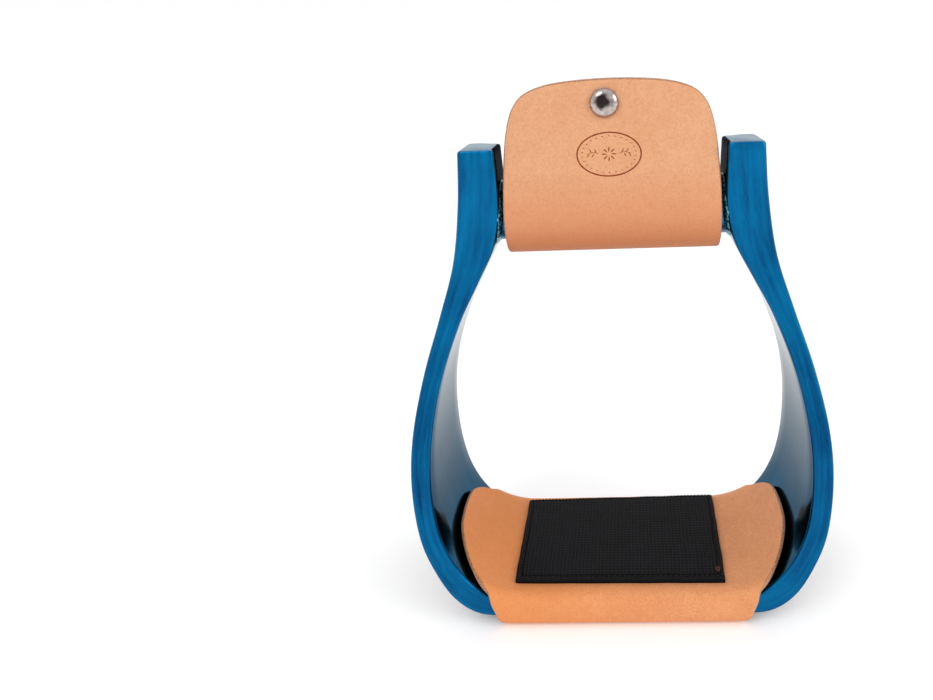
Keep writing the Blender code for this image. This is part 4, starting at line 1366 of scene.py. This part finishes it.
def make_rivet():
    """Two nickel caps on one stem: a crowned dome in front, and the flatter one that it was set against."""
    surface = NECK_LEATHER / 2 - SLEEVE.at(sleeve_distance(RIVET.z, True))[0]

    def placed(front):
        sign = -1 if front else 1
        return lambda a, b, height: (RIVET.x + a, sign * height, RIVET.z + sign * b)

    dome = []
    for k in range(DOME_STEPS + 1):
        angle = math.pi / 2 * k / DOME_STEPS
        height = surface + DOME_LIFT + DOME_HEIGHT * math.cos(angle)
        dome.append((DOME_RADIUS * math.sin(angle), height))
    dome += [(4.92, surface + 0.38), (4.86, surface + 0.12), (4.6, surface - 0.25), (1.6, surface - 0.25)]
    dome += [(1.55, surface - 1.0), (0.0, surface - 1.0)]
    cap = turned("rivet_dome", dome, 64, placed(True), NICKEL)
    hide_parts("rivet_cap")
    back = [(0.0, surface + 1.5), (1.2, surface + 1.42), (1.5, surface + 1.15), (2.6, surface + 1.3)]
    back += [(3.7, surface + 1.05), (4.35, surface + 0.6), (4.5, surface + 0.1), (4.3, surface - 0.2)]
    back += [(1.5, surface - 0.2), (1.5, -surface - 0.4), (0.0, -surface - 0.4)]
    post = turned("rivet_back_and_stem", back, 64, placed(False), NICKEL)
    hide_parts("rivet_post")
    for piece in (cap, post):
        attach(piece, "neck_sleeve")


# ---------------------------------------------------------------- studio

CAMERA_PLACE = (0.00161, -0.27918, 0.19426)
CAMERA_YAW, CAMERA_PITCH, CAMERA_ROLL = -0.04499, 0.23486, -0.03983
CAMERA_LENS, CAMERA_SHIFT = 32.10, (-0.1234, -0.1155)
FLOOR_HALF = 6.0
HORIZON, ZENITH = (1.0, 1.0, 1.0, 1.0), (0.93, 0.94, 0.95, 1.0)


def make_camera():
    camera = bpy.data.cameras.new("camera")
    camera.lens = CAMERA_LENS
    camera.sensor_width = 36.0
    camera.shift_x, camera.shift_y = CAMERA_SHIFT
    camera.clip_start = 0.01
    holder = bpy.data.objects.new("camera", camera)
    bpy.context.scene.collection.objects.link(holder)
    level = math.cos(CAMERA_PITCH)
    forward = Vector((math.sin(CAMERA_YAW) * level, math.cos(CAMERA_YAW) * level, -math.sin(CAMERA_PITCH)))
    right = forward.cross(Vector((0, 0, 1))).normalized()
    up = right.cross(forward)
    turned_right = right * math.cos(CAMERA_ROLL) + up * math.sin(CAMERA_ROLL)
    turned_up = up * math.cos(CAMERA_ROLL) - right * math.sin(CAMERA_ROLL)
    matrix = Matrix((turned_right, turned_up, -forward)).transposed().to_4x4()
    matrix.translation = Vector(CAMERA_PLACE)
    holder.matrix_world = matrix
    bpy.context.scene.camera = holder


def make_floor():
    mesh = bpy.data.meshes.new("floor")
    low = CAD_BOX[0][2] - 0.2 * MM
    corners = [(x * FLOOR_HALF, y * FLOOR_HALF, low) for x, y in ((-1, -1), (1, -1), (1, 1), (-1, 1))]
    mesh.from_pydata(corners, [], [(0, 1, 2, 3)])
    mesh.materials.append(floor_look())
    floor = bpy.data.objects.new("floor", mesh)
    bpy.context.scene.collection.objects.link(floor)


def make_light(name, place, target, size, power):
    light = bpy.data.lights.new(name, "AREA")
    light.shape = "DISK"
    light.size = size
    light.energy = power
    holder = bpy.data.objects.new(name, light)
    bpy.context.scene.collection.objects.link(holder)
    aim = Vector(target) - Vector(place)
    holder.location = place
    holder.rotation_euler = aim.to_track_quat("-Z", "Y").to_euler()


def make_world():
    """White light from round about, a little dimmer from above."""
    world = bpy.data.worlds.new("studio")
    world.use_nodes = True
    nodes, links = world.node_tree.nodes, world.node_tree.links
    coords = nodes.new("ShaderNodeTexCoord")
    parts = nodes.new("ShaderNodeSeparateXYZ")
    ramp = nodes.new("ShaderNodeValToRGB")
    links.new(coords.outputs["Generated"], parts.inputs[0])
    links.new(parts.outputs["Z"], ramp.inputs["Fac"])
    for stop, position, colour in zip(ramp.color_ramp.elements, (0.0, 0.75), (HORIZON, ZENITH)):
        stop.position = position
        stop.color = colour
    links.new(ramp.outputs["Color"], nodes["Background"].inputs["Color"])
    bpy.context.scene.world = world


make_camera()
make_world()
make_floor()
make_light("key", (-0.5, -0.9, 1.0), (0, 0, 0.08), 0.7, 3.0)
make_light("fill", (0.9, -0.5, 0.5), (0, 0, 0.08), 0.6, 2.5)

make_frame()
make_bar()
make_weld(-1, "weld_fillet_left", "weld_bead_left")
make_weld(1, "weld_fillet_right", "weld_bead_right")
engrave(-1, "engraving_left")
engrave(1, "engraving_right")
make_neck_leather()
make_stamp()
make_rivet()
make_tread_leather()
make_lacing()
make_grip_patch()
make_grip_stitches()

bpy.context.scene.view_settings.view_transform = "Standard"
